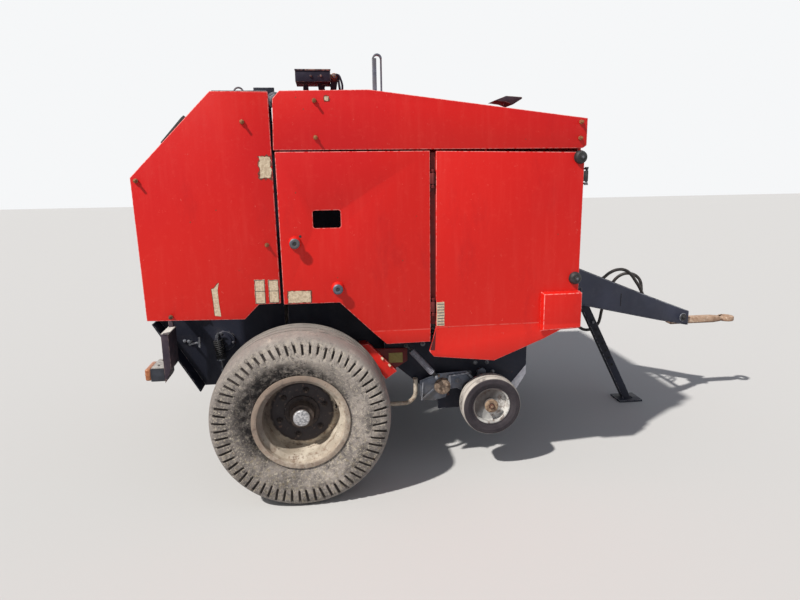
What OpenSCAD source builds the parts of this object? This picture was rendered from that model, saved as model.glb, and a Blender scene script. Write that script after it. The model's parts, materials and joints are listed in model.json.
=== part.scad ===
/* [Wheels] */
// Outer radius of the road tyre, and height of the axle
tyre_r = 418; // [380:1:450]
// Width of the road tyre
tyre_w = 290; // [250:1:310]
// Half distance between the middle planes of the road tyres
track_half = 930; // [920:1:960]
// Radius of the bead seat of the road rim
rim_r = 207; // [198:1:212]
// Radius of the gauge tyre
gauge_r = 160; // [150:1:170]
// Width of the gauge tyre
gauge_w = 104; // [90:1:110]
// Half distance between the gauge wheels
gauge_half = 822; // [818:1:835]

/* [Chamber] */
// Radius of the circle on which the roller centres lie
ring_r = 600; // [580:1:605]
// Radius of a chamber roller
roller_r = 78; // [60:1:82]
// Half of the inside width of the chamber
chamber_half = 604; // [596:1:606]
// Height of the chamber centre over the ground
chamber_z = 1165; // [1160:1:1170]
// Thickness of the chamber side walls
wall_t = 8; // [6:1:12]

/* [Covers] */
// Half of the width over the side covers
cover_half = 900; // [896:1:906]
// Thickness of a cover with its folded rim
cover_t = 22; // [16:1:24]
// Length of the front covers, from the wheel axle to the front edge
cover_front = 1359; // [1350:1:1365]
// Gap between moving pieces
gap = 5; // [5:1:7]

/* [Drawbar] */
// Distance from the wheel axle to the tip of the tow eye
eye_tip = 2855; // [2840:1:2880]
// Radius of the hole in the tow eye
eye_hole_r = 20; // [16:1:22]
// Thickness of the tow eye
eye_t = 30; // [24:1:34]
// Height of the tow eye's middle over the ground
eye_z = 537; // [530:1:545]

/* [Pick-up] */
// Radius over the tips of the pick-up tines
tine_r = 240; // [220:1:245]
// Half of the working width of the pick-up
reel_half = 630; // [600:1:640]
// Number of tine bars on the reel
tine_bars = 5; // [4:1:6]
// Number of tines along one bar
tines_per_bar = 18; // [10:1:22]

/* [Hidden] */
$fn = 64;
red = "#d2302c";
dark_blue = "#2b3444";
galvanised = "#8e9296";
black = "#1d1d1f";
cream = "#cfc3a8";
rust = "#8a5a3c";
maroon = "#3a1c20";

// Running clearance of a shaft in its bore
shaft_gap = 0.3;
// Clearance where one piece rests on another
seat = 0.3;
tail_x = -78;
tail_rear_x = -682;
tail_lamp_x = -722;
mid_x = (eye_tip + tail_lamp_x) / 2;
hinge = [-68, 1869];
hinge_pin_r = 16;
panel_y = cover_half - cover_t;
rail_y = panel_y - gap;
rail_s = 40;
wall_out = chamber_half + wall_t;
mid_edge = 627;
front_edge = 655;
door_top = 1623;
door_pin_y = cover_half - 3;
mid_pin_x = (mid_edge + front_edge) / 2;
front_pin_x = cover_front + 14;
door_pin_r = 5;
knuckle_r = 8;
knuckle_h = 50;
door_pin_z = [900, 1500];
beam_x = [1400, 1480];
beam_z = [780, 960];
longeron_z = [800, 920];
pickup_hinge = [455, 640];
pickup_pin_r = 22;
reel_c = [930, 490];
gauge_c = [946, 363];
plate_y = 690;
plate_t = 8;
jack_c = [1777, 700];
jack_foot_x = 2131;
jack_pin_r = 14;
jack_s = 50;
jack_ear = 30;
tongue_half = 32;

// Both sides of the machine
module both() { children(); mirror([0, 1, 0]) children(); }
// An outline in the X-Z plane, from y0 to y1
module slab(y0, y1, pts) {
    translate([0, y1, 0]) rotate([90, 0, 0]) linear_extrude(y1 - y0) polygon(pts);
}
// A block between two corners
module block(a, b) { translate(a) cube([b[0] - a[0], b[1] - a[1], b[2] - a[2]]); }
// A cylinder along Y, centred in X and Z
module rod_y(x, z, r, y0, y1) {
    translate([x, y1, z]) rotate([90, 0, 0]) cylinder(r = r, h = y1 - y0);
}
// A round bar from point a to point b
module bar(a, b, r) {
    d = b - a;
    translate(a) rotate([0, acos(d[2] / norm(d)), atan2(d[1], d[0])])
        cylinder(r = r, h = norm(d));
}
function ring(a, r = ring_r) = [r * cos(a), chamber_z + r * sin(a)];
// The roof's ridge line in the X-Z plane, its thickness and its height at x
roof_pts = [[-30, 1874], [358, 1878], [1366, 1755]];
roof_t = 12;
function roof_z(x) = lookup(x, roof_pts);
function under_roof(x) = roof_z(x) - roof_t - seat;

// Carrying structure
wall_front = [[-62, tyre_r + 40], [300, tyre_r + 40], [520, 580], [700, 760],
    [700, 1500], [480, 1760], [300, under_roof(300)], [-62, under_roof(-30)]];
front_angles = [88, 68, 48, 28, 8, -12, -32, -68, -88];
bearing_r = 50;
bearing_h = 18;
ear_t = 34;
module main_frame() color(dark_blue) {
    both() {
        difference() {
            union() {
                slab(chamber_half, wall_out, wall_front);
                for (a = front_angles)
                    rod_y(ring(a)[0], ring(a)[1], bearing_r, wall_out - 1, wall_out + bearing_h);
                rod_y(hinge[0], hinge[1], hinge_pin_r + 12, wall_out + ear_t - 20, wall_out + ear_t);
                slab(wall_out - 1, wall_out + ear_t, [[-62, 1780], [20, 1780], [20, 1848],
                    [-30, hinge[1] - 10], [hinge[0] + 20, hinge[1] + 20], [hinge[0] + 8, hinge[1] - 18]]);
            }
            rod_y(hinge[0], hinge[1], hinge_pin_r + shaft_gap, 500, 700);
            rod_y(pickup_hinge[0], pickup_hinge[1], pickup_pin_r + shaft_gap, 500, 700);
        }
    }
}
longeron_s = 60;
module frame_beams() color(dark_blue) {
    both() block([600, wall_out, longeron_z[0]], [beam_x[1], wall_out + longeron_s, longeron_z[1]]);
    block([beam_x[0], -wall_out - 1, beam_z[0]], [beam_x[1], wall_out + 1, beam_z[1]]);
}

axle_s = 80;
stub_r = 30;
hub_in = track_half - 110;
module axle() color(dark_blue) {
    block([-axle_s / 2, -700, tyre_r - axle_s / 2], [axle_s / 2, 700, tyre_r + axle_s / 2]);
    both() {
        rod_y(0, tyre_r, stub_r, 699, track_half + 40);
        rod_y(0, tyre_r, 45, 699, hub_in - gap);
    }
}

lug_t = 8;
lug_root = 10;
// Two eyes that hold the pin of a door, on a foot that reaches back to the post
module hinge_lug(x, z, reach = 0) {
    for (s = [-1, 1]) {
        eye_z0 = z + s * (knuckle_h / 2 + gap) + (s - 1) * lug_t / 2;
        translate([x, door_pin_y, eye_z0]) cylinder(r = knuckle_r, h = lug_t);
        block([x - knuckle_r, rail_y - 1, eye_z0], [x + knuckle_r, door_pin_y, eye_z0 + lug_t]);
        if (reach > 0)
            block([x - reach - 1, rail_y - lug_root, eye_z0], [x + knuckle_r, rail_y, eye_z0 + lug_t]);
    }
    translate([x, door_pin_y, z]) cylinder(r = door_pin_r, h = knuckle_h + 2 * gap + 2, center = true);
}
post_x = cover_front - rail_s / 2;
rail_z = door_top - 8 - rail_s;
foot_z = longeron_z[0] + 8;
module cover_frame() color(dark_blue) both() {
    block([-50, rail_y - rail_s, rail_z], [cover_front, rail_y, rail_z + rail_s]);
    for (x = [mid_pin_x, post_x])
        block([x - rail_s / 2, rail_y - rail_s, foot_z], [x + rail_s / 2, rail_y, rail_z + 1]);
    for (z = door_pin_z) {
        hinge_lug(mid_pin_x, z);
        hinge_lug(front_pin_x, z, front_pin_x - cover_front);
    }
    for (x = [20, mid_pin_x])
        block([x - rail_s / 2, wall_out, rail_z], [x + rail_s / 2, rail_y - rail_s + 1, rail_z + rail_s]);
    for (x = [mid_pin_x, post_x])
        block([x - rail_s / 2, wall_out + longeron_s, foot_z],
            [x + rail_s / 2, rail_y - rail_s + 1, foot_z + rail_s]);
}

// Chamber rollers, each with its shaft between the walls
module chamber_roller(a) {
    rod_y(ring(a)[0], ring(a)[1], roller_r, -chamber_half + 12, chamber_half - 12);
    rod_y(ring(a)[0], ring(a)[1], 22, -chamber_half, chamber_half);
}
module rollers_top() color(dark_blue) for (a = [88, 68, 48]) chamber_roller(a);
module rollers_front() color(dark_blue) for (a = [28, 8, -12, -32]) chamber_roller(a);
module rollers_inlet() color(dark_blue) for (a = [-68, -88]) chamber_roller(a);
module tail_rollers_upper() color(dark_blue) for (a = [110, 130, 150, 170]) chamber_roller(a);
module tail_rollers_lower() color(dark_blue) for (a = [190, 210, 230, 250]) chamber_roller(a);

// Covers
upper_pts = [[-69, 1632], [1348, 1628], [1366, 1640], [1366, 1762], [358, 1886],
    [-30, 1881], [-61, 1848]];
ear_y = [620, 640];
module roof() color(red) {
    slab(-rail_y, rail_y, concat(roof_pts, [for (i = [2:-1:0]) roof_pts[i] - [0, roof_t]]));
    both() slab(ear_y[0], ear_y[1], [[-28, roof_z(-28) - 4], [100, roof_z(100) - 4], [100, 1900],
        [70, 1916], [-6, 1916], [-28, 1902]]);
}
module upper_panels() color(red) both() slab(rail_y, cover_half, upper_pts);
shield_bottom = 1240;
shield_t = 18;
module front_shield() color(red)
    block([cover_front - shield_t / 2, rail_s - rail_y, shield_bottom],
        [cover_front + shield_t / 2, rail_y - rail_s, under_roof(cover_front + shield_t / 2)]);

module door_knuckles(x, edge) {
    for (z = door_pin_z) {
        translate([x, door_pin_y, z]) cylinder(r = knuckle_r, h = knuckle_h, center = true);
        block([edge - 1, door_pin_y - 12, z - knuckle_h / 2], [x, door_pin_y, z + knuckle_h / 2]);
    }
}
module pin_holes(x) for (z = door_pin_z)
    translate([x, door_pin_y, z]) cylinder(r = door_pin_r + shaft_gap, h = knuckle_h + 2, center = true);
// Lower edges of the flat parts of the middle and front doors, and the inward lean below them
door_low = [792, 799];
skirt_a = 9;
skirt_x = 345;
mid_upper = [[-63, door_top + 2], [mid_edge, door_top], [mid_edge, door_low[0]], [skirt_x, door_low[0]],
    [198, 939], [-59, 940]];
mid_lower = [[0, 0], [mid_edge - skirt_x, 0], [mid_edge - skirt_x, -68], [70, -70]];
window = [[90, 1288], [215, 1367]];
module latch(x, z) {
    rod_y(x, z, 24, cover_half - 1, cover_half + 18);
    rod_y(x, z, 16, cover_half + 17, cover_half + 40);
    block([x - 26, cover_half + 30, z - 10], [x + 22, cover_half + 46, z + 10]);
}
module door_mid() difference() {
    union() {
        slab(panel_y, cover_half, mid_upper);
        translate([skirt_x, cover_half, door_low[0] + 0.5]) rotate([-skirt_a, 0, 0])
            slab(-cover_t, 0, mid_lower);
        door_knuckles(mid_pin_x, mid_edge);
        latch(5, 1223);
        latch(191, 1008);
    }
    block([window[0][0], panel_y - 1, window[0][1]], [window[1][0], cover_half + 1, window[1][1]]);
    pin_holes(mid_pin_x);
}
front_upper = [[front_edge, door_top - 1], [cover_front, door_top - 13],
    [cover_front, door_low[1]], [front_edge, door_low[1]]];
front_lower = [[0, 0], [cover_front - front_edge, 0], [1199 - front_edge, -88],
    [952 - front_edge, -195], [648 - front_edge, -158], [-30, -130]];
bulge_out = 34;
knob_z = [1015, 1587];
box_bulge = [[1170, 755], [1365, 755], [1365, 953], [1170, 953]];
module door_front() difference() {
    union() {
        slab(panel_y, cover_half, front_upper);
        translate([front_edge, cover_half, door_low[1] + 0.5]) rotate([-skirt_a, 0, 0])
            slab(-cover_t, 0, front_lower);
        slab(cover_half - 1, cover_half + bulge_out, box_bulge);
        door_knuckles(front_pin_x, cover_front);
        for (z = knob_z) rod_y(cover_front - 21, z, 20, cover_half - 1, cover_half + 22);
    }
    pin_holes(front_pin_x);
}
module door_mid_left() color(red) door_mid();
module door_mid_right() color(red) mirror([0, 1, 0]) door_mid();
module door_front_left() color(red) door_front();
module door_front_right() color(red) mirror([0, 1, 0]) door_front();

// Drawbar, tow eye, drive and jack
bar_root_y = 540;
bar_w = 50;
module beam_section(x, y, w, z0, z1) translate([x - 0.5, y, z0]) cube([1, w, z1 - z0]);
bar_tip_x = 2506;
knee_x = 2207;
knee_y = 150;
// Lower and upper edges of a drawbar beam at its root, its knee and its neck
root_z = [808, 1013];
knee_z = [596, 720];
neck_z = [eye_z + 4, 646];
neck_x = 2400;
neck_y = tongue_half + 0.5;
// Half of the clear width between the drawbar beams
function beam_inner(x) = lookup(x, [[beam_x[1], bar_root_y - bar_w], [knee_x, knee_y], [neck_x, neck_y]]);
// A plate from beam to beam
module cross_plate(x0, x1, z0, z1) translate([0, 0, z0]) linear_extrude(z1 - z0) polygon([
    [x0, seat - beam_inner(x0)], [x1, seat - beam_inner(x1)], [x1, beam_inner(x1) - seat],
    [x0, beam_inner(x0) - seat]]);
module drawbar() color(dark_blue) both() {
    hull() {
        beam_section(beam_x[1] + 0.5, bar_root_y - bar_w, bar_w, root_z[0], root_z[1]);
        beam_section(knee_x, knee_y, bar_w, knee_z[0], knee_z[1]);
    }
    hull() {
        beam_section(knee_x, knee_y, bar_w, knee_z[0], knee_z[1]);
        beam_section(neck_x, neck_y, bar_w, neck_z[0], neck_z[1]);
    }
    hull() {
        beam_section(neck_x, neck_y, bar_w, neck_z[0], neck_z[1]);
        beam_section(bar_tip_x, neck_y, 14, eye_z - 24, 606);
    }
}
eye_r = 50;
module tow_eye() color(rust) difference() {
    union() {
        block([neck_x - 10, -tongue_half, eye_z - 20], [eye_tip - 155, tongue_half, eye_z + 20]);
        hull() {
            block([eye_tip - 156, -tongue_half, eye_z - 20], [eye_tip - 155, tongue_half, eye_z + 20]);
            block([eye_tip - 2 * eye_r, -26, eye_z - eye_t / 2],
                [eye_tip - 2 * eye_r + 1, 26, eye_z + eye_t / 2]);
        }
        translate([eye_tip - eye_r, 0, eye_z]) cylinder(r = eye_r, h = eye_t, center = true);
    }
    translate([eye_tip - eye_r, 0, eye_z]) cylinder(r = eye_hole_r, h = 60, center = true);
}
pto_r = 17.4;
module gearbox() color(dark_blue) {
    block([beam_x[0] - 60, -gearbox_half, beam_z[1]], [beam_x[1] + 20, gearbox_half, drive_c[1] + 100]);
    translate([beam_x[1] + 20, 0, drive_c[1]]) rotate([0, 90, 0]) cylinder(r = 60, h = 30);
    translate([beam_x[1] + 50, 0, drive_c[1]]) rotate([0, 90, 0]) cylinder(r = pto_r, h = 90);
}
sprocket_y = 700;
feed_angles = [28, 8, -12, -32];
function ring3(a) = [ring(a)[0], 0, ring(a)[1]];
module sprocket(x, z, r, y, bore = 0) difference() {
    rod_y(x, z, r, y, y + 8);
    if (bore > 0) rod_y(x, z, bore, y - 1, y + 9);
}
// A chain run tightly around circles, each given as [x, z, radius]
module chain(circles, y) translate([0, y + 7, 0]) rotate([90, 0, 0]) linear_extrude(6) difference() {
    hull() for (c = circles) translate([c[0], c[1]]) circle(r = c[2] + 12);
    hull() for (c = circles) translate([c[0], c[1]]) circle(r = c[2] + seat);
}
drive_c = [beam_x[0], beam_z[1] + 110];
drive_r = 28;
main_run = [[drive_c[0], drive_c[1], 60], [ring(8)[0], ring(8)[1], 105]];
feed_run = [for (a = feed_angles) [ring(a)[0], ring(a)[1], 44]];
module chain_drive() color(galvanised) {
    sprocket(drive_c[0], drive_c[1], main_run[0][2], sprocket_y, drive_r + shaft_gap);
    sprocket(main_run[1][0], main_run[1][1], main_run[1][2], sprocket_y);
    for (c = feed_run) sprocket(c[0], c[1], c[2], sprocket_y - 40);
    for (c = feed_run) rod_y(c[0], c[1], 20, wall_out + bearing_h, sprocket_y - 39);
    rod_y(ring(8)[0], ring(8)[1], 20, sprocket_y - 33, sprocket_y + 1);
    chain(main_run, sprocket_y);
    chain(feed_run, sprocket_y - 40);
}
gearbox_half = 110;
module drive_shaft() color(dark_blue)
    rod_y(drive_c[0], drive_c[1], drive_r, gearbox_half, rail_y - rail_s - 20);
module jack_bar() color(dark_blue) difference() {
    union() {
        cross_plate(jack_c[0] - jack_ear, jack_c[0] + jack_ear, jack_c[1] + 42, jack_c[1] + 102);
        for (s = [-1, 1]) translate([jack_c[0], s * (jack_s / 2 + gap + 5), jack_c[1]])
            block([-jack_ear, -5, -jack_ear], [jack_ear, 5, 43]);
    }
    rod_y(jack_c[0], jack_c[1], jack_pin_r + shaft_gap, -60, 60);
}
hose_r = 10;
hose_plate_z = 604;
hose_lift_route = [[1510, -80, 850], [1530, -80, 850], [1580, -80, 846], [1640, -79, 836],
    [1700, -78, 828], [1755, -76, 824], [1805, -74, 824], [1850, -71, 834], [1888, -68, 856],
    [1930, -65, 886], [1984, -62, 904], [2038, -59, 897], [2080, -56, 866], [2114, -53, 824],
    [2146, -49, 780], [2168, -46, 740], [2182, -44, 704], [2189, -42, 668], [2190, -42, 640],
    [2190, -42, 624]];
hose_pickup_route = [[1510, 100, 850], [1530, 100, 850], [1566, 100, 843], [1600, 100, 826],
    [1630, 100, 798], [1656, 100, 762], [1680, 100, 720], [1704, 100, 676], [1728, 100, 630],
    [1752, 100, 584], [1775, 100, 544], [1798, 100, 512], [1823, 100, 487], [1854, 99, 472],
    [1890, 98, 472], [1921, 97, 486], [1946, 96, 512], [1956, 95, 542], [1962, 94, 582],
    [1968, 91, 626], [1976, 87, 672], [1985, 80, 715], [1997, 70, 756], [2013, 58, 795],
    [2035, 46, 831], [2064, 34, 854], [2100, 24, 862], [2136, 16, 854], [2165, 10, 832],
    [2180, 6, 806], [2186, 3, 772], [2189, 2, 730], [2190, 2, 690], [2190, 2, 655], [2190, 2, 624]];
// A round tube swept along a list of points
module tube(pts, r, sides) {
    n = len(pts);
    function ahead(i) = let (d = pts[min(i + 1, n - 1)] - pts[max(i - 1, 0)]) d / norm(d);
    function across(i) = let (c = cross(ahead(i), [0, 1, 0])) c / norm(c);
    rings = [for (i = [0:n - 1], k = [0:sides - 1]) let (u = across(i), v = cross(ahead(i), u),
        a = 360 * k / sides) pts[i] + r * (u * cos(a) + v * sin(a))];
    faces = concat([[for (k = [0:sides - 1]) k]], [[for (k = [sides - 1:-1:0]) (n - 1) * sides + k]],
        [for (i = [0:n - 2], k = [0:sides - 1]) let (m = (k + 1) % sides)
            [i * sides + k, (i + 1) * sides + k, (i + 1) * sides + m]],
        [for (i = [0:n - 2], k = [0:sides - 1]) let (m = (k + 1) % sides)
            [i * sides + k, (i + 1) * sides + m, i * sides + m]]);
    polyhedron(rings, faces);
}
module hose_lift() color(black) tube(hose_lift_route, hose_r, 10);
module hose_pickup() color(black) tube(hose_pickup_route, hose_r, 10);
module hose_fittings() color(galvanised) {
    for (route = [hose_lift_route, hose_pickup_route]) {
        port = route[0];
        plug = route[len(route) - 1];
        translate([beam_x[1], port[1], port[2]]) rotate([0, 90, 0])
            cylinder(r = hose_r + 4, h = port[0] - beam_x[1]);
        translate([plug[0], plug[1], hose_plate_z]) cylinder(r = hose_r + 5, h = plug[2] - hose_plate_z);
    }
    plate_x = hose_lift_route[len(hose_lift_route) - 1][0];
    cross_plate(plate_x - 16, plate_x + 16, hose_plate_z, hose_plate_z + 8);
}
jack_a = atan((jack_foot_x - jack_c[0]) / jack_c[1]);
jack_len = jack_c[1] / cos(jack_a);
module jack_leg() color(dark_blue) {
    difference() {
        translate([jack_c[0], 0, jack_c[1]]) rotate([0, 180 - jack_a, 0])
            translate([-jack_s / 2, -jack_s / 2, -25]) cube([jack_s, jack_s, jack_len + 40]);
        block([jack_c[0], -100, -200], [jack_foot_x + 300, 100, 12]);
    }
    rod_y(jack_c[0], jack_c[1], jack_pin_r, -45, 45);
    block([jack_foot_x - 80, -70, 0], [jack_foot_x + 80, 70, 13]);
}
brace_y = [track_half - tyre_w / 2 - 73, track_half - tyre_w / 2 - 33];
module lower_braces() color(red) both() {
    slab(brace_y[0], brace_y[1], [[280, 682], [336, 690], [478, 538], [420, 497]]);
    block([292, wall_out, 620], [292 + rail_s, brace_y[0] + 1, 670]);
    slab(brace_y[0] - wall_t, brace_y[0] + 1, [[336, 690], [361, 650], [537, 646], [537, 578], [470, 538],
        [420, 505], [300, 680]]);
}
roof_y = -350;
tray_z = 1984;
module roof_box() color(maroon) {
    difference() {
        block([22, roof_y - 90, tray_z], [198, roof_y + 90, tray_z + 57]);
        block([28, roof_y - 84, tray_z + 6], [192, roof_y + 84, tray_z + 58]);
    }
    slab(roof_y - 4, roof_y + 4, [[52, roof_z(52)], [88, roof_z(88)], [84, tray_z + 1], [58, tray_z + 1]]);
    difference() {
        slab(roof_y - 4, roof_y + 4, [[146, roof_z(146)], [214, roof_z(214)], [236, tray_z + 18],
            [199, tray_z + 18], [199, tray_z + 1], [132, tray_z + 1]]);
        rod_y(183, tray_z - 20, 15, roof_y - 10, roof_y + 10);
    }
    block([197, roof_y - 12, tray_z + 16], [246, roof_y - 3, tray_z + 48]);
    bar([240, roof_y - 8, tray_z + 18], [256, roof_y - 8, roof_z(250) + 1.5], 6);
}
module roof_guide() color(galvanised) {
    block([418, roof_y - 14, roof_z(405) + 1], [439, roof_y + 14, 2112]);
    block([459, roof_y - 6, roof_z(405) + 1], [468, roof_y + 6, 2112]);
    intersection() {
        translate([443, roof_y, 2110]) rotate([90, 0, 0]) difference() {
            cylinder(r = 25, h = 28, center = true);
            cylinder(r = 16, h = 30, center = true);
        }
        block([400, roof_y - 14, 2110], [490, roof_y + 14, 2140]);
    }
    block([405, roof_y - 30, roof_z(405)], [480, roof_y + 30, roof_z(405) + 6]);
}
module roof_catch() color(maroon) {
    slab(roof_y - 120, roof_y + 20, [[1044, 1890], [1103, 1912], [1190, 1906], [1190, 1898],
        [1140, 1868], [1104, 1882]]);
    block([1112, roof_y - 60, roof_z(1112)], [1124, roof_y - 40, 1882]);
}

// Tailgate
wall_tail = [[tail_x, 470], [-510, 470], [-710, 826], [-710, 1456], [-320, 1856], [tail_x - 12, 1856]];
flange_w = 40;
low_flange_w = 100;
tail_angles = [110, 130, 150, 170, 190, 210, 230, 250];
// A strip of thickness t on the right of the line from p to q
function strip(p, q, t) = let (d = (q - p) / norm(q - p), n = [-d[1], d[0]] * t) [p, q, q + n, p + n];
module tail_walls() color(dark_blue) both() {
    slab(chamber_half, wall_out, wall_tail);
    for (i = [1:3])
        slab(wall_out - 1, wall_out + (i == 1 ? low_flange_w : flange_w),
            strip(wall_tail[i + 1], wall_tail[i], 8));
    for (a = tail_angles)
        rod_y(ring(a)[0], ring(a)[1], bearing_r, wall_out - 1, wall_out + bearing_h);
}
tail_pts = [[-79, 1877], [-322, 1879], [tail_rear_x, 1523], [-673, 887], [-240, 877],
    [-172, 945], [-73, 946]];
module tail_panels() color(red) both() slab(panel_y, cover_half, tail_pts);
// Lower rear corners of the arms that carry the tail panels
tail_arms = [[-200, 1780], [-200, 960], [-640, 1380], [-640, 900]];
module tail_frame() color(dark_blue) {
    both() {
        for (c = tail_arms)
            block([c[0], wall_out, c[1]], [c[0] + rail_s, panel_y, c[1] + rail_s]);
        slab(wall_out + flange_w, wall_out + flange_w + 16, [[-200, 1790], [-100, 1830],
            [hinge[0] + 20, hinge[1] - 20], [hinge[0] + 20, hinge[1] + 22], [hinge[0], hinge[1] + 30],
            [hinge[0], hinge[1] + 56], [hinge[0] - 95, hinge[1] + 56], [hinge[0] - 95, hinge[1] - 10],
            [-200, 1840]]);
        rod_y(hinge[0], hinge[1], hinge_pin_r, wall_out + 2, wall_out + flange_w + 1);
    }
}
lamp_y = [wall_out + low_flange_w, cover_half - 40];
lamp_x = [-631, -598];
lamp_z = [584, 648];
post_low = 576;
post_knee = 646;
post_top = 814;
plate_h = 5;
module lamp_brackets() color("#4a3a38") both() {
    difference() {
        slab(lamp_y[0], lamp_y[1], [[lamp_x[0], post_low], [lamp_x[1], post_knee], [lamp_x[1], post_top],
            [lamp_x[0], post_top]]);
        block([lamp_x[0] + wall_t, lamp_y[0] - 1, post_low - 1],
            [lamp_x[1] - wall_t, lamp_y[1] - wall_t, post_top - wall_t]);
    }
    block([lamp_x[0] + 5, lamp_y[0], post_top - 1], [lamp_x[1] - 8, lamp_y[0] + 20, tail_arms[3][1]]);
    block([lamp_x[0] - 59, lamp_y[0] + 2, lamp_z[1]], [lamp_x[0] + 1, lamp_y[1] - 2, lamp_z[1] + plate_h]);
}
module tail_lamps() color("#b03020") both()
    block([tail_lamp_x, lamp_y[0] + 2, lamp_z[0]], [lamp_x[0], lamp_y[1] - 2, lamp_z[1]]);

// Pick-up
plate_pts = [[420, 600], [420, 690], [520, 705], [1177, 705], [1176, 466],
    [1124, 379], [1050, 300], [700, 300], [690, 400], [600, 440]];
module pickup_plates() color(dark_blue) both() difference() {
    union() {
        slab(plate_y, plate_y + plate_t, plate_pts);
        rod_y(pickup_hinge[0], pickup_hinge[1], 36, wall_out + gap, plate_y + 1);
        rod_y(pickup_hinge[0], pickup_hinge[1], pickup_pin_r, chamber_half + 1, plate_y);
    }
    rod_y(reel_c[0], reel_c[1], 25 + shaft_gap, 600, 760);
}
module pickup_frame() color(dark_blue)
    rod_y(640, 470, 30, -plate_y, plate_y);
module pickup_reel() color(galvanised) {
    rod_y(reel_c[0], reel_c[1], 25, -plate_y - 20, plate_y + 20);
    for (s = [-1, 1]) rod_y(reel_c[0], reel_c[1], 130, s * reel_half - 5, s * reel_half + 5);
    for (i = [0:tine_bars - 1]) translate([reel_c[0], 0, reel_c[1]])
        rotate([0, i * 360 / tine_bars, 0]) {
            rod_y(110, 0, 14, -reel_half, reel_half);
            for (j = [0:tines_per_bar - 1])
                translate([110, -reel_half + 30 + j * (2 * reel_half - 60) / (tines_per_bar - 1), 0])
                    rotate([0, 90, 0]) cylinder(r = 4, h = tine_r - 110);
        }
}
band_r = 165;
band_w = 22;
band_t = 3;
band_top_x = 640;
band_low_x = 712;
module pickup_bands() color(galvanised) {
    step = (2 * reel_half - 60) / (tines_per_bar - 1);
    for (j = [0:tines_per_bar - 2])
        translate([reel_c[0], -reel_half + 30 + (j + 0.5) * step, reel_c[1]]) rotate([90, 0, 0]) {
            difference() {
                cylinder(r = band_r + band_t, h = band_w, center = true);
                cylinder(r = band_r, h = band_w + 2, center = true);
                translate([-300, -200, -20]) cube([300, 400, 40]);
            }
            for (q = [[band_top_x, band_r], [band_low_x, -band_r - band_t]])
                translate([q[0] - reel_c[0], q[1], -band_w / 2])
                    cube([reel_c[0] - q[0] + 0.5, band_t, band_w]);
        }
    block([band_top_x, -plate_y, reel_c[1] + band_r - 14], [band_top_x + 30, plate_y, reel_c[1] + band_r]);
    block([band_low_x, -plate_y, reel_c[1] - band_r], [band_low_x + 28, plate_y, reel_c[1] - band_r + 12]);
}
pipe_y = 720;
pipe_r = 11;
module side_pipes() color(cream) both() {
    bar([400, pipe_y, 350], [515, pipe_y, 350], pipe_r);
    translate([515, pipe_y, 412]) rotate([90, 0, 0]) intersection() {
        rotate_extrude() translate([62, 0]) circle(r = pipe_r, $fn = 32);
        translate([0, -100, -20]) cube([100, 100, 40]);
    }
    bar([577, pipe_y, 412], [577, pipe_y, 480], pipe_r);
    block([566, plate_y + plate_t, 468], [588, pipe_y, 482]);
}
guard_c = [1150, 680];
guard_rods = 12;
module crop_guard() color(dark_blue) {
    rod_y(guard_c[0], guard_c[1], 16, -plate_y, plate_y);
    for (j = [0:guard_rods - 1]) let (y = (2 * j / (guard_rods - 1) - 1) * (reel_half - 50))
        bar([guard_c[0], y, guard_c[1]], [guard_c[0] - 270, y, guard_c[1] + 95], 5);
}
arm_y = 752;
arm_t = 10;
arm_pivot = [712, 447];
stub_axle_r = 12;
module gauge_arms() color(galvanised) both() {
    slab(arm_y - arm_t, arm_y, [[595, 395], [595, 480], [690, 513], [842, 520], [960, 390],
        [946, 340], [920, 350], [790, 430], [690, 420]]);
    rod_y(arm_pivot[0], arm_pivot[1], 38, plate_y + plate_t, arm_y + 24);
    rod_y(gauge_c[0], gauge_c[1], stub_axle_r, arm_y - 1, gauge_half + 20);
}
spring_y = arm_y + 45;
spring_r = 16;
hook_r = 5;
module pickup_springs() color(galvanised) both() {
    spring_top = [546, spring_y, 657];
    spring_low = [652, spring_y, 536];
    bar(spring_top, spring_low, spring_r);
    bar([519, spring_y, 685], spring_top, hook_r);
    bar(spring_low, [672, spring_y, 516], hook_r);
    block([664, arm_y, 504], [680, spring_y + hook_r, 520]);
}

// Wheels, drawn on the left side
// One flank of a tyre from bead to tread: share of half the width, share of the section height
flank = [[0.78, 0], [0.8, 0.09], [0.9, 0.24], [0.99, 0.42], [1, 0.62], [0.93, 0.86], [0.78, 0.96], [0.5, 1]];
function tyre_profile(w, r0, r1) = concat([for (f = flank) [-f[0] * w / 2, r0 + f[1] * (r1 - r0)]],
    [for (i = [len(flank) - 1:-1:0]) [flank[i][0] * w / 2, r0 + flank[i][1] * (r1 - r0)]]);
module turned_y(x, y, z, pts) translate([x, y, z]) rotate([-90, 0, 0])
    rotate_extrude($fn = 96) polygon([for (p = pts) [p[1], p[0]]]);
module road_tyre() turned_y(0, track_half, tyre_r, tyre_profile(tyre_w, rim_r + seat, tyre_r));
// Inner face of the disc, outwards from the middle plane of the tyre
disc_y = -14;
disc_t = 8;
hub_r = 82;
cap_y = 66;
rim_half = 120;
rim_t = 6;
lip_h = 18;
well_r = rim_r - 28;
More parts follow.
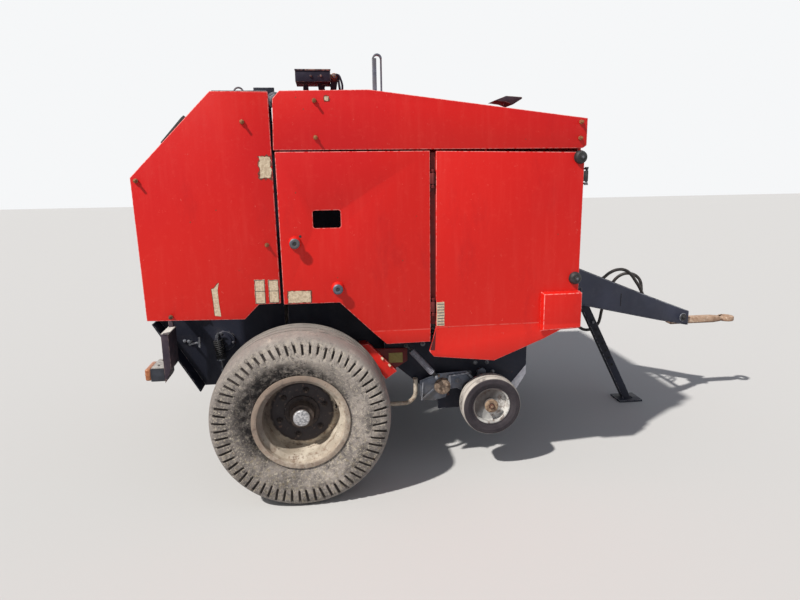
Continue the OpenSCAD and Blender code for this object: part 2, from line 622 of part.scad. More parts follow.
// The rim's section from flange to flange with its disc, as [y, radius]
rim_pts = [[-rim_half, rim_r], [-rim_half, rim_r + lip_h], [-rim_half - rim_t, rim_r + lip_h],
    [-rim_half - rim_t, rim_r - rim_t], [-98, rim_r - rim_t], [-88, well_r], [disc_y - 30, well_r],
    [disc_y, 135], [disc_y, hub_r + 1], [disc_y + disc_t, hub_r + 1], [disc_y + disc_t, 140],
    [disc_y - 16, well_r], [88, well_r], [98, rim_r - rim_t], [rim_half + rim_t, rim_r - rim_t],
    [rim_half + rim_t, rim_r + lip_h], [rim_half, rim_r + lip_h], [rim_half, rim_r], [95, rim_r],
    [84, well_r + rim_t], [-84, well_r + rim_t], [-95, rim_r]];
module road_rim() turned_y(0, track_half, tyre_r, rim_pts);
module road_hub() difference() {
    union() {
        rod_y(0, tyre_r, hub_r, hub_in, track_half + disc_y + disc_t);
        rod_y(0, tyre_r, 56, track_half + disc_y + disc_t - 1, track_half + cap_y - 16);
        rod_y(0, tyre_r, 40, track_half + cap_y - 17, track_half + cap_y);
    }
    rod_y(0, tyre_r, stub_r + shaft_gap, 600, track_half + 40 + gap);
}
module tyre_left() color(black) road_tyre();
module rim_left() color(cream) road_rim();
module hub_left() color(dark_blue) road_hub();
module tyre_right() color(black) mirror([0, 1, 0]) road_tyre();
module rim_right() color(cream) mirror([0, 1, 0]) road_rim();
module hub_right() color(dark_blue) mirror([0, 1, 0]) road_hub();
gauge_rim_r = 96;
module gauge_tyre() turned_y(gauge_c[0], gauge_half, gauge_c[1],
    tyre_profile(gauge_w, gauge_rim_r + seat, gauge_r));
module gauge_rim() difference() {
    turned_y(gauge_c[0], gauge_half, gauge_c[1], [[-38, gauge_rim_r], [-38, gauge_rim_r - 8],
        [-10, gauge_rim_r - 10], [-5, 32], [-38, 32], [-38, 0], [38, 0], [38, 32], [5, 32],
        [2, gauge_rim_r - 10], [38, gauge_rim_r - 8], [38, gauge_rim_r]]);
    rod_y(gauge_c[0], gauge_c[1], stub_axle_r + shaft_gap, gauge_half - 60, gauge_half + 20 + gap);
}
module gauge_tyre_left() color(black) gauge_tyre();
module gauge_rim_left() color(cream) gauge_rim();
module gauge_tyre_right() color(black) mirror([0, 1, 0]) gauge_tyre();
module gauge_rim_right() color(cream) mirror([0, 1, 0]) gauge_rim();

module place() translate([-mid_x, 0, 0]) children();
place() main_frame();
place() frame_beams();
place() axle();
place() cover_frame();
place() rollers_top();
place() rollers_front();
place() rollers_inlet();
place() roof();
place() upper_panels();
place() front_shield();
place() drawbar();
place() tow_eye();
place() gearbox();
place() drive_shaft();
place() chain_drive();
place() jack_bar();
place() jack_leg();
place() hose_lift();
place() hose_pickup();
place() hose_fittings();
place() lower_braces();
place() roof_box();
place() roof_guide();
place() roof_catch();
place() tail_walls();
place() tail_panels();
place() tail_rollers_upper();
place() tail_rollers_lower();
place() tail_frame();
place() lamp_brackets();
place() tail_lamps();
place() door_mid_right();
place() door_mid_left();
place() door_front_right();
place() door_front_left();
place() pickup_plates();
place() pickup_frame();
place() side_pipes();
place() pickup_reel();
place() pickup_bands();
place() crop_guard();
place() gauge_arms();
place() pickup_springs();
place() gauge_tyre_right();
place() gauge_rim_right();
place() gauge_tyre_left();
place() gauge_rim_left();
place() tyre_right();
place() rim_right();
place() hub_right();
place() tyre_left();
place() rim_left();
place() hub_left();
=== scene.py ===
import json
import math
import random

import bmesh
import bpy
from mathutils import Matrix, Vector


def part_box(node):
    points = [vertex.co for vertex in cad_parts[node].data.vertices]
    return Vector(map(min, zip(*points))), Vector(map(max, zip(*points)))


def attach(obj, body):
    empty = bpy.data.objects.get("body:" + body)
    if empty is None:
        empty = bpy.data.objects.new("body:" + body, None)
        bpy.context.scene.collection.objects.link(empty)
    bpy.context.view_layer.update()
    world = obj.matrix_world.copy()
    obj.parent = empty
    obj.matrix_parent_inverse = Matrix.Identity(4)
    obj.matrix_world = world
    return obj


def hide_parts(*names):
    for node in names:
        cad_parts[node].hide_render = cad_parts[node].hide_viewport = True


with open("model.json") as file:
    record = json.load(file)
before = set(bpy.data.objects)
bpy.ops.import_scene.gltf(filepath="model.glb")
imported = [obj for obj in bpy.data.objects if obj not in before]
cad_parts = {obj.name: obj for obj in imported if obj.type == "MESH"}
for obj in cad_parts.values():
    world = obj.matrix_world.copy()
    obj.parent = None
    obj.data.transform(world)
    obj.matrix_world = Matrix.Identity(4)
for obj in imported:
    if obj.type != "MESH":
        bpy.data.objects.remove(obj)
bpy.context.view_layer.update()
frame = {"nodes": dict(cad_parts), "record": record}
NODES = frame["nodes"]
BODY_OF = {node: body for body, nodes in frame["record"]["behaviour"]["bodies"].items() for node in nodes}

# Sizes in metres. X is measured from the road axle, so at() moves it into the frame
hub_low, hub_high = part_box("hub_right")
AXLE_X = (hub_low.x + hub_high.x) / 2
AXLE_Z = (hub_low.z + hub_high.z) / 2
SIDES = (("right", -1), ("left", 1))
COVER_HALF = 0.900
COVER_T = 0.022
RAIL_Y = 0.873
MID_EDGE = 0.627
FRONT_EDGE = 0.655
COVER_FRONT = 1.359
DOOR_TOP = 1.623
HINGE_Y = 0.897
HINGE_Z = (0.900, 1.500)
MID_PIN, FRONT_PIN = 0.641, 1.373
CREASE_MID = 0.7925
CREASE_FRONT = 0.7995
CREASE_TURN = math.radians(9)
# The front door's crease ends where its raised corner starts
CREASE_END = 1.165
EYE_Z = 0.537


def at(x, y, z):
    return Vector((AXLE_X + x, y, z))


def new_object(name, data):
    obj = bpy.data.objects.new(name, data)
    bpy.context.scene.collection.objects.link(obj)
    return obj


# Camera, at the place and angle from which the photograph was taken
CAMERA_PLACE = Vector((-0.9088, -3.6384, 1.5234))
CAMERA_YAW, CAMERA_PITCH, CAMERA_ROLL = 0.1174, 0.2085, 0.0150
CAMERA_LENS = 26.85


def make_camera():
    y, p, roll = CAMERA_YAW, CAMERA_PITCH, CAMERA_ROLL
    ahead = Vector((math.sin(y) * math.cos(p), math.cos(y) * math.cos(p), -math.sin(p)))
    level = Vector((math.cos(y), -math.sin(y), 0))
    down = ahead.cross(level)
    right = math.cos(roll) * level + math.sin(roll) * down
    up = math.sin(roll) * level - math.cos(roll) * down
    data = bpy.data.cameras.new("camera")
    data.lens = CAMERA_LENS
    data.sensor_width = 36.0
    data.clip_end = 200.0
    camera = new_object("camera", data)
    turned = Matrix((right, up, -ahead)).transposed().to_4x4()
    camera.matrix_world = Matrix.Translation(CAMERA_PLACE) @ turned
    bpy.context.scene.camera = camera


make_camera()


# Materials
def srgb(r, g, b):
    return tuple((c / 255 / 12.92) if c <= 10 else ((c / 255 + 0.055) / 1.055) ** 2.4 for c in (r, g, b)) + (1.0,)


class Finish:
    """A procedural material: textures are placed by the piece's own coordinates, in metres."""

    def __init__(self, name, metallic=0.0, specular=0.5):
        self.material = bpy.data.materials.new(name)
        self.material.use_nodes = True
        self.tree = self.material.node_tree
        self.shader = self.tree.nodes["Principled BSDF"]
        self.shader.inputs["Metallic"].default_value = metallic
        self.shader.inputs["Specular IOR Level"].default_value = specular
        self.place = self.node("TexCoord", "Object", {})
        self.tone = None

    def node(self, kind, output, inputs, **settings):
        """A new node with its inputs set or linked. Gives the named output."""
        node = self.tree.nodes.new("ShaderNode" + kind)
        for key, value in settings.items():
            setattr(node, key, value)
        for key, value in inputs.items():
            if isinstance(value, bpy.types.NodeSocket):
                self.tree.links.new(value, node.inputs[key])
            else:
                node.inputs[key].default_value = value
        return node.outputs[output]

    def texture(self, kind, output, inputs, stretch=(1, 1, 1)):
        place = self.node("Mapping", "Vector", {"Scale": stretch, "Vector": self.place})
        return self.node(kind, output, {**inputs, "Vector": place})

    def noise(self, scale, detail=4, rough=0.55, stretch=(1, 1, 1), twist=0.0):
        inputs = {"Scale": scale, "Detail": detail, "Roughness": rough, "Distortion": twist}
        return self.texture("TexNoise", "Fac", inputs, stretch)

    def cells(self, scale, output="Distance"):
        return self.texture("TexVoronoi", output, {"Scale": scale})

    def band(self, value, low, high):
        """0 below low, 1 above high; with high below low it falls instead."""
        ends = (0.0, 1.0) if low < high else (1.0, 0.0)
        return self.node("MapRange", "Result", {
            "From Min": min(low, high), "From Max": max(low, high), "To Min": ends[0], "To Max": ends[1],
            "Value": value}, interpolation_type="SMOOTHSTEP")

    def spots(self, low, high, *texture):
        """Where a noise lies above the band from low to high."""
        return self.band(self.noise(*texture), low, high)

    def math(self, kind, a, b=0.0):
        return self.node("Math", "Value", {0: a, 1: b}, operation=kind)

    def times(self, a, b):
        return self.math("MULTIPLY", a, b)

    def plus(self, a, b):
        return self.math("ADD", a, b)

    def less(self, a, b):
        return self.math("SUBTRACT", a, b)

    def axis(self, name):
        return self.node("SeparateXYZ", name, {"Vector": self.place})

    def mix(self, share, a, b):
        self.tone = self.node("Mix", 2, {0: share, 6: a, 7: b}, data_type="RGBA")

    def base(self, low, high, share):
        self.mix(share, srgb(*low), srgb(*high))

    def coat(self, tone, where, share=1.0):
        """Lays a tone over what is there."""
        self.mix(where if share == 1 else self.times(where, share), self.tone, srgb(*tone))

    def done(self, gloss, grain, depth, strength):
        """gloss holds the lowest and highest roughness and the noise between them, grain is a height."""
        low, high, *texture = gloss
        rough = self.node("MapRange", "Result", {"To Min": low, "To Max": high, "Value": self.noise(*texture)})
        bump = self.node("Bump", "Normal", {"Distance": depth, "Strength": strength, "Height": grain})
        for source, target in ((self.tone, "Base Color"), (rough, "Roughness"), (bump, "Normal")):
            self.tree.links.new(source, self.shader.inputs[target])
        return self.material


def crease_highlight(f):
    """1 along the bent edges of the doors, where a pale pink highlight is painted, broken up by noise."""
    ahead = f.math("GREATER_THAN", f.axis("X"), AXLE_X + (MID_EDGE + FRONT_EDGE) / 2)
    height = f.plus(f.times(ahead, CREASE_FRONT - CREASE_MID), CREASE_MID)
    away = f.math("ABSOLUTE", f.less(f.axis("Z"), height))
    short = f.math("LESS_THAN", f.axis("X"), AXLE_X + CREASE_END)
    return f.times(f.band(away, 0.0034, 0.0012), f.times(short, f.spots(0.30, 0.54, 24, 5, 0.65)))


def red_paint(name="red_paint", edge=False):
    """Faded red enamel with streaks of washed dust, pale scuffs and chips that show rust. It also has painted
    light: a pale highlight along the door creases, a brighter red below the crease height, and, with edge set, pale
    edges that stand for both wear and highlight.
    """
    f = Finish(name, specular=0.28)
    f.base((198, 20, 24), (206, 26, 22), f.spots(0.35, 0.65, 1.3, 3))
    f.coat((212, 30, 20), f.band(f.axis("Z"), 1.9, 0.7))
    # Painted light: the sheet below the crease height is painted a brighter red
    f.coat((232, 40, 28), f.band(f.axis("Z"), 0.802, 0.790), 0.8)
    f.coat((218, 70, 62), f.spots(0.46, 0.78, 9, 6, 0.62, (3.5, 3.5, 0.35)), 0.18)
    f.coat((172, 20, 24), f.spots(0.54, 0.72, 3.4, 7, 0.7, (1.6, 1.6, 0.6)), 0.30)
    f.coat((226, 84, 74), f.spots(0.52, 0.80, 34, 8, 0.7), 0.17)
    f.coat((228, 120, 110), f.spots(0.715, 0.745, 95, 3, 0.5, (1, 1, 0.8), 1.2), 0.42)
    f.coat((120, 58, 40), f.times(f.band(f.cells(16), 0.055, 0.035), f.spots(0.50, 0.56, 5, 2)))
    # Painted highlight: a pale pink line along the door creases
    f.coat((228, 112, 102), crease_highlight(f), 0.55)
    # Edges: pale pink, for paint worn through and as a painted highlight where sheet edges catch the light
    if edge:
        f.coat((236, 136, 130), f.spots(0.34, 0.60, 60, 4, 0.6))
    grain = f.plus(f.times(f.noise(2.2, 2), 3.0), f.noise(160, 4, 0.6))
    return f.done((0.30, 0.56, 14, 6, 0.65), grain, 0.0012, 0.35)


def surface(name, base, coats, gloss, grain, metallic=0.0, specular=0.5, crystals=0, under=None):
    """A paint or metal from rows of numbers, where noise stands for the rest of a row.

    base: low tone, high tone, band low, band high, noise. A coat: tone, share, band low, band high, noise.
    gloss: lowest and highest roughness, noise. grain: depth, strength, noise. under is a tone for what lies below
    the tow eye's middle.
    """
    f = Finish(name, metallic, specular)
    low, high, *texture = base
    f.base(low, high, f.cells(crystals, "Color") if crystals else f.spots(*texture))
    for tone, share, *texture in coats:
        f.coat(tone, f.spots(*texture), share)
    if under:
        f.coat(under, f.band(f.axis("Z"), EYE_Z - 0.008, EYE_Z - 0.020))
    depth, strength, *texture = grain
    return f.done(gloss, f.noise(*texture), depth, strength)


def edged(name, edge_name, edge, coats, **look):
    """A look for faces, and the same with one more coat for worn edges."""
    return [surface(name, coats=coats, **look), surface(edge_name, coats=coats + (edge,), **look)]


def maroon(name, edge_name, low, high):
    return edged(
        name, edge_name, ((150, 128, 120), 1, 0.40, 0.60, 44, 4), (((104, 80, 74), 1, 0.62, 0.72, 26, 6, 0.7),),
        base=(low, high, 0.38, 0.66, 8, 6, 0.65), gloss=(0.55, 0.85, 20, 4), grain=(0.0015, 0.5, 90, 6, 0.65),
        specular=0.25)


def plain(name, low, high, scale=20, rough=(0.5, 0.8), metallic=0.0, grain=100, depth=0.0008):
    """Two tones blended by noise, for small pieces."""
    return surface(name, (low, high, 0.35, 0.68, scale, 6, 0.65), (), (*rough, scale * 1.7, 4),
                   (depth, 0.5, grain, 5, 0.6), metallic)


def wheel_radius(f, centre):
    """The distance from a wheel's centre, seen from the side."""
    x, z = f.less(f.axis("X"), centre[0]), f.less(f.axis("Z"), centre[1])
    return f.math("SQRT", f.plus(f.times(x, x), f.times(z, z)))


def tyre_rubber(name, centre, size, flank, tread, muddy=True, worn_at=(0.905, 0.965)):
    """Old rubber: pale worn tread, sandy flecks and dark spots on the flank, a dark ring by the rim; when muddy,
    painted light makes the flank lighter toward the top and darker toward the left.
    """
    f = Finish(name, specular=0.25)
    radius = wheel_radius(f, centre)
    f.base(*flank, f.spots(0.36, 0.66, 9, 8, 0.72))
    if muddy:
        across, height = f.less(f.axis("X"), centre[0]), f.less(f.axis("Z"), centre[1])
        # Painted light: the flank is lighter toward the top and darker toward the left
        f.coat((196, 187, 178), f.band(height, size * 0.2, size * 0.8), 0.55)
        f.coat((84, 79, 78), f.band(across, -size * 0.1, -size * 0.9), 0.45)
        f.coat((204, 194, 176), f.spots(0.52, 0.575, 82, 9, 0.88), 0.74)
        low = f.times(f.spots(0.53, 0.60, 52, 9, 0.84), f.band(height, size * 0.2, -size * 0.5))
        f.coat((160, 146, 112), low, 0.5)
        f.coat((46, 43, 43), f.spots(0.535, 0.585, 46, 10, 0.9, (1, 1, 1), 0.8), 0.78)
        # Darker in a ragged ring by the rim, widest toward the upper left
        rim_ring = f.less(radius, f.times(f.less(height, across), 0.16))
        f.coat((34, 32, 33), f.times(f.band(rim_ring, size * 0.66, size * 0.50), f.spots(0.66, 0.44, 30, 9, 0.85)))
    worn = f.times(f.band(radius, size * worn_at[0], size * worn_at[1]), f.spots(0.22, 0.55, 14, 7, 0.7))
    f.coat(tread, worn, 0.8)
    rings = f.math("SINE", f.times(radius, 2 * math.pi / (size * 0.10)))
    return f.done((0.80, 0.97, 30, 4), f.plus(f.times(rings, 0.25), f.noise(170, 9, 0.8)), 0.0024, 0.85)


def cream_rim(name, centre=(0, 0), muddy=0.0, shade_band=None, low=(168, 156, 140), high=(204, 194, 178),
              grime=(126, 104, 88)):
    """Chalky cream enamel under dried mud, darkest on the disc inside the muddy radius. Where a band is given,
    painted shade darkens the upper left.
    """
    f = Finish(name)
    f.base(low, high, f.spots(0.38, 0.62, 9, 6, 0.65))
    f.coat(grime, f.spots(0.52, 0.65, 24, 8, 0.74))
    if shade_band:
        # Painted shade: darker toward the upper left, where the lip shades the dish
        upper = f.less(f.less(f.axis("Z"), centre[1]), f.less(f.axis("X"), centre[0]))
        f.coat((80, 68, 64), f.band(upper, *shade_band), 0.80)
    if muddy:
        radius = wheel_radius(f, centre)
        ragged = f.plus(radius, f.times(f.noise(26, 6, 0.7), 0.03))
        f.coat((44, 38, 41), f.band(ragged, muddy + 0.026, muddy + 0.014))
        f.coat((100, 80, 70), f.spots(0.60, 0.68, 38, 7, 0.72))
        f.coat((150, 132, 118), f.times(f.band(radius, 0.196, 0.206), f.spots(0.34, 0.54, 30, 8, 0.75)), 0.75)
    f.coat((98, 84, 76), f.spots(0.62, 0.70, 70, 5))
    return f.done((0.55, 0.85, 30, 4), f.noise(100, 7, 0.7), 0.0015, 0.6)


RED = [red_paint(), red_paint("red_worn_lit_edge", True)]
# Charcoal blue chassis paint, dusty on its faces and rubbed through on its edges
DARK = edged(
    "frame_paint", "frame_edge", ((128, 128, 134), 1, 0.38, 0.58, 40, 4, 0.6),
    (((80, 78, 78), 0.26, 0.50, 0.80, 12, 8, 0.7), ((96, 60, 42), 0.8, 0.67, 0.73, 21, 6, 0.72)),
    base=((17, 20, 33), (28, 32, 48), 0.35, 0.70, 3.1, 4), gloss=(0.45, 0.80, 18, 5),
    grain=(0.0012, 0.4, 110, 6, 0.6), specular=0.30)
# Smooth blue-grey enamel with a film of dust and few rust spots
DRAWBAR = edged(
    "drawbar_paint", "drawbar_edge", ((140, 142, 152), 1, 0.36, 0.58, 30, 4, 0.6),
    (((96, 96, 104), 0.25, 0.50, 0.80, 9, 7, 0.65), ((110, 76, 58), 0.7, 0.70, 0.74, 44, 5, 0.7)),
    base=((31, 36, 57), (46, 51, 73), 0.35, 0.70, 2.6, 4), gloss=(0.40, 0.68, 18, 5),
    grain=(0.0009, 0.35, 90, 5, 0.6), specular=0.35)
# Old brown-maroon primer with rust bleeding through
MAROON = maroon("maroon_paint", "maroon_edge", (50, 43, 54), (80, 68, 76))
BOX_PAINT = maroon("box_paint", "box_edge", (28, 28, 44), (50, 46, 62))
# Weathered zinc: crystals of slightly different greys, white bloom and brown run-off
ZINC = edged(
    "galvanised", "galvanised_edge", ((150, 153, 160), 1, 0.35, 0.55, 60, 3),
    (((92, 91, 92), 1, 0.40, 0.70, 7, 6, 0.65), ((104, 78, 58), 1, 0.62, 0.72, 17, 7, 0.72)),
    base=((74, 80, 94), (106, 112, 126)), gloss=(0.38, 0.68, 22, 6), grain=(0.0008, 0.4, 140, 5, 0.6),
    metallic=0.55, crystals=55)
# Bare forged steel with a coat of orange-brown rust
RUST = surface(
    "rusty_steel", ((104, 64, 42), (168, 106, 62), 0.34, 0.66, 10, 7, 0.7),
    (((196, 150, 104), 1, 0.50, 0.68, 48, 6, 0.7), ((74, 56, 50), 1, 0.60, 0.70, 5, 3)),
    (0.70, 0.95, 30, 5), (0.0022, 0.8, 120, 8, 0.7))
# Forged steel worn to a dry tan film, brown where nothing rubs it
TONGUE = surface(
    "tongue_steel", ((140, 110, 90), (184, 156, 134), 0.34, 0.64, 12, 7, 0.7),
    (((204, 184, 164), 1, 0.52, 0.66, 40, 6, 0.7), ((98, 70, 56), 1, 0.58, 0.68, 7, 4, 0.6)),
    (0.65, 0.92, 30, 5), (0.0020, 0.7, 120, 8, 0.7), specular=0.3, under=(60, 44, 40))
# Steel rubbed bright by straw, with brown and grey films where it isn't
STEEL = surface(
    "bare_steel", ((92, 84, 78), (150, 144, 138), 0.36, 0.66, 6, 6, 0.65),
    (((106, 68, 46), 1, 0.52, 0.66, 15, 7, 0.7),), (0.35, 0.65, 25, 5), (0.0010, 0.4, 80, 5, 0.6), 0.75)
CLAY = plain("dry_clay", (116, 94, 78), (166, 142, 118), 60, (0.85, 0.98), 0, 130, 0.006)
PIVOT_CLAY = plain("pivot_clay", (104, 88, 76), (152, 134, 118), 60, (0.85, 0.98), 0, 130, 0.006)
DARK_NUT = plain("muddy_nut", (44, 38, 40), (74, 64, 60), 50, (0.7, 0.9), 0.1, 90, 0.003)
BROWN_NUT = plain("brown_nut", (78, 48, 40), (108, 72, 58), 50, (0.7, 0.9), 0.1, 120, 0.003)
HUB_CAP = plain("hub_cap", (120, 121, 126), (216, 216, 218), 90, (0.35, 0.6), 0.3, 150, 0.004)
# Painted shade: the darker rubber inside the tyre's shoulder slits
SLIT_SHADE = plain("tyre_slit_shade", (44, 40, 39), (76, 69, 65), 60, (0.9, 0.98))
GLUE = plain("old_glue", (96, 44, 34), (132, 66, 50), 80, (0.7, 0.9))
# Painted shade: a dark red laid where the covers' gaps, hinges and a brace plate lie in shadow
PAINTED_SHADE = plain("painted_shade_red", (84, 14, 16), (104, 20, 20), 20, (0.6, 0.8))
MUD = plain("dried_mud", (58, 50, 48), (92, 80, 72), 26, (0.85, 0.98), 0, 60, 0.004)
PALE = plain("aged_label", (184, 163, 137), (222, 205, 178), 90, (0.6, 0.8))
BOSS = plain("black_boss", (24, 24, 26), (52, 52, 54), 40, (0.5, 0.75))
# Near black painted shade, for the insides of the jack's holes and of a coil spring
VOID_SHADE = plain("painted_void_shade", (8, 8, 9), (14, 14, 15), 10, (0.9, 0.95))
GREY_NUT = plain("grey_nut", (78, 80, 86), (122, 124, 130), 60, (0.4, 0.6), 0.6)
HOSE = plain("hose_rubber", (32, 29, 30), (62, 55, 52), 50, (0.45, 0.7))
LENS = plain("lamp_lens", (150, 84, 50), (186, 122, 78), 90, (0.2, 0.45))
DEEP_LENS = plain("lamp_lens_rib", (120, 56, 34), (146, 76, 48), 60, (0.2, 0.4))
LAMP_BODY = plain("lamp_body", (30, 34, 44), (48, 52, 62), 40, (0.4, 0.6))
LAMP_TOP_PALE = plain("lamp_top_pale", (140, 136, 134), (182, 178, 174), 60, (0.6, 0.85))
LIME = plain("blank_label", (124, 112, 56), (150, 138, 74), 50, (0.5, 0.7))
ROOF_STEEL = plain("dull_blue_steel", (76, 84, 102), (104, 112, 130), 40, (0.5, 0.8), 0.3)
SPRING_GREY = plain("spring_grey", (104, 104, 114), (150, 150, 160), 60, (0.5, 0.8), 0.1)
# Painted light: a pale grey for the sunlit corner of a pick-up plate
SUNLIT_GREY = plain("painted_sunlit_grey", (190, 192, 202), (216, 218, 226), 40, (0.4, 0.6), 0.1)
PALE_FILM = plain("pale_film", (206, 202, 196), (234, 231, 226), 60, (0.7, 0.9))
STRAW = plain("dry_grass", (150, 128, 82), (196, 176, 124), 90, (0.8, 0.95))

# Hoses, along the routes of the part's source in millimetres, from their ports to the plugs on the drawbar
HOSE_D = 0.020
LIFT_ROUTE = [
    (1510, -80, 850), (1530, -80, 850), (1580, -80, 846), (1640, -79, 836), (1700, -78, 828), (1755, -76, 824),
    (1805, -74, 824), (1850, -71, 834), (1888, -68, 856), (1930, -65, 886), (1984, -62, 904), (2038, -59, 897),
    (2080, -56, 866), (2114, -53, 824), (2146, -49, 780), (2168, -46, 740), (2182, -44, 704), (2189, -42, 668),
    (2190, -42, 640), (2190, -42, 624)]
PICKUP_ROUTE = [
    (1510, 100, 850), (1530, 100, 850), (1566, 100, 843), (1600, 100, 826), (1630, 100, 798), (1656, 100, 762),
    (1680, 100, 720), (1704, 100, 676), (1728, 100, 630), (1752, 100, 584), (1775, 100, 544), (1798, 100, 512),
    (1823, 100, 487), (1854, 99, 472), (1890, 98, 472), (1921, 97, 486), (1946, 96, 512), (1956, 95, 542),
    (1962, 94, 582), (1968, 91, 626), (1976, 87, 672), (1985, 80, 715), (1997, 70, 756), (2013, 58, 795),
    (2035, 46, 831), (2064, 34, 854), (2100, 24, 862), (2136, 16, 854), (2165, 10, 832), (2180, 6, 806),
    (2186, 3, 772), (2189, 2, 730), (2190, 2, 690), (2190, 2, 655), (2190, 2, 624)]


def make_hose(node, route):
    """A hydraulic hose as a smooth curve along the route."""
    points = [at(x / 1000, y / 1000, z / 1000) for x, y, z in route]
    data = bpy.data.curves.new(node + "_line", "CURVE")
    data.dimensions = "3D"
    data.bevel_depth = HOSE_D / 2
    data.bevel_resolution = 6
    data.resolution_u = 6
    data.use_fill_caps = True
    spline = data.splines.new("BEZIER")
    spline.bezier_points.add(len(points) - 1)
    for knot, p in zip(spline.bezier_points, points):
        knot.co = p
        knot.handle_left_type = knot.handle_right_type = "AUTO"
    obj = new_object(node + "_line", data)
    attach(obj, BODY_OF[node])
    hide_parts(node)
    length = sum((b - a).length for a, b in zip(points, points[1:]))
    tuple(points[0])
    return obj


hoses = [make_hose("hose_lift", LIFT_ROUTE), make_hose("hose_pickup", PICKUP_ROUTE)]


# Shapes
SHARP = math.radians(28)
SHEET = 0.003
FOLD = 0.020


def circle(radius, count, start=0.0):
    """Places (across, up) all round a circle, the first at start degrees."""
    turns = [2 * math.pi * k / count + math.radians(start) for k in range(count)]
    return [(radius * math.cos(t), radius * math.sin(t)) for t in turns]


def closed_circle(radius, count):
    return circle(radius, count) + [(radius, 0.0)]


def toothed(count, rows):
    """An outline of equal teeth. Each row holds a share of the pitch and a radius."""
    turns = [(2 * math.pi * (k + share) / count, radius) for k in range(count) for share, radius in rows]
    return [(radius * math.cos(t), radius * math.sin(t)) for t, radius in turns]


def collar(half, inner, outer):
    """The closed profile of a ring for lathe."""
    return [(-half, inner), (-half, outer), (half, outer), (half, inner)]


def solid(verts, faces):
    bm = bmesh.new()
    made = [bm.verts.new(v) for v in verts]
    for face in faces:
        bm.faces.new([made[i] for i in face])
    return bm


def loft(loops, ends=True, ring=False):
    """Faces from each loop of points to the next. ends closes the first and last, ring joins them."""
    n, count = len(loops[0]), len(loops)
    faces = [
        (k * n + i, k * n + (i + 1) % n, (k + 1) % count * n + (i + 1) % n, (k + 1) % count * n + i)
        for k in range(count if ring else count - 1) for i in range(n)]
    if ends and not ring:
        faces += [tuple(range(n)), tuple(range((count - 1) * n, count * n))]
    return solid([v for loop in loops for v in loop], faces)


def prism(points, y0, y1):
    """An outline in the X-Z plane, in metres from the axle, drawn out along Y."""
    return loft([[at(x, y, z) for x, z in points] for y in (y0, y1)])


def box(low, high):
    """A block between two corners given in the frame."""
    (x0, y0, z0), (x1, y1, z1) = low, high
    return loft([[(x, y0, z0), (x, y1, z0), (x, y1, z1), (x, y0, z1)] for x in (x0, x1)])


def rod(a, b, radius, sides=20, end_radius=None):
    a, b = Vector(a), Vector(b)
    turn = (b - a).to_track_quat("Z", "Y").to_matrix().to_4x4()
    bm = bmesh.new()
    bmesh.ops.create_cone(
        bm, cap_ends=True, segments=sides, radius1=radius,
        radius2=radius if end_radius is None else end_radius, depth=(b - a).length)
    bmesh.ops.transform(bm, matrix=Matrix.Translation((a + b) / 2) @ turn, verts=bm.verts)
    return bm


def lathe(centre, profile, sides, closed=False):
    """Turns a profile of (y, radius) points about the Y axis through centre."""
    loops = [[Vector(centre) + Vector((x, y, z)) for x, z in circle(radius, sides)] for y, radius in profile]
    bm = loft(loops, False, closed)
    bmesh.ops.remove_doubles(bm, verts=bm.verts, dist=1e-6)
    return bm


def sweep(points, radius, sides=10, taper=None):
    """A round wire along a list of points."""
    points = [Vector(p) for p in points]
    last = len(points) - 1
    loops, side = [], Vector((0, 0, 1))
    for i, p in enumerate(points):
        ahead = (points[min(i + 1, last)] - points[max(i - 1, 0)]).normalized()
        side = side - ahead * side.dot(ahead)
        side = side.normalized() if side.length > 1e-4 else ahead.orthogonal().normalized()
        other = ahead.cross(side)
        size = radius * (taper(i / last) if taper else 1)
        loops.append([p + a * side + b * other for a, b in circle(size, sides)])
    return loft(loops)


def coil(a, b, radius, wire, turns, steps=14):
    """A coil spring from a to b."""
    turn = (b - a).to_track_quat("Z", "Y")
    count = turns * steps
    path = [a + turn @ Vector((
        radius * math.cos(2 * math.pi * i / steps), radius * math.sin(2 * math.pi * i / steps),
        (b - a).length * i / count)) for i in range(count + 1)]
    return sweep(path, wire, 8)


def smooth_line(points, steps):
    """A curve through points, with steps pieces between two of them."""
    out = []
    last = len(points) - 1
    for i in range(last):
        a, b, c, d = (Vector(points[max(0, min(last, i + k))]) for k in (-1, 0, 1, 2))
        for t in [k / steps for k in range(steps)]:
            out.append(0.5 * (2 * b + (c - a) * t + (2 * a - 5 * b + 4 * c - d) * t ** 2
                              + (3 * b - a - 3 * c + d) * t ** 3))
    return out + [Vector(points[-1])]


def inset(points, d):
    """An anticlockwise outline moved inwards by d."""
    out = []
    for i, p in enumerate(points):
        q, r = points[i - 1], points[(i + 1) % len(points)]
        u = Vector((p[0] - q[0], p[1] - q[1])).normalized()
        v = Vector((r[0] - p[0], r[1] - p[1])).normalized()
        n, m = Vector((-u.y, u.x)), Vector((-v.y, v.x))
        out.append(tuple(Vector(p) + (n + m) * (d / (1 + n.dot(m)))))
    return out


def tray(points, side, depth=COVER_T):
    """A sheet metal cover with its rim folded back all round, open on the inside."""
    rows = [(0, 0), (0, depth), (FOLD, depth), (FOLD, depth - SHEET), (SHEET, depth - SHEET), (SHEET, SHEET)]
    return loft([[at(x, side * (COVER_HALF - back), z) for x, z in (inset(points, shrink) if shrink else points)]
                 for shrink, back in rows])


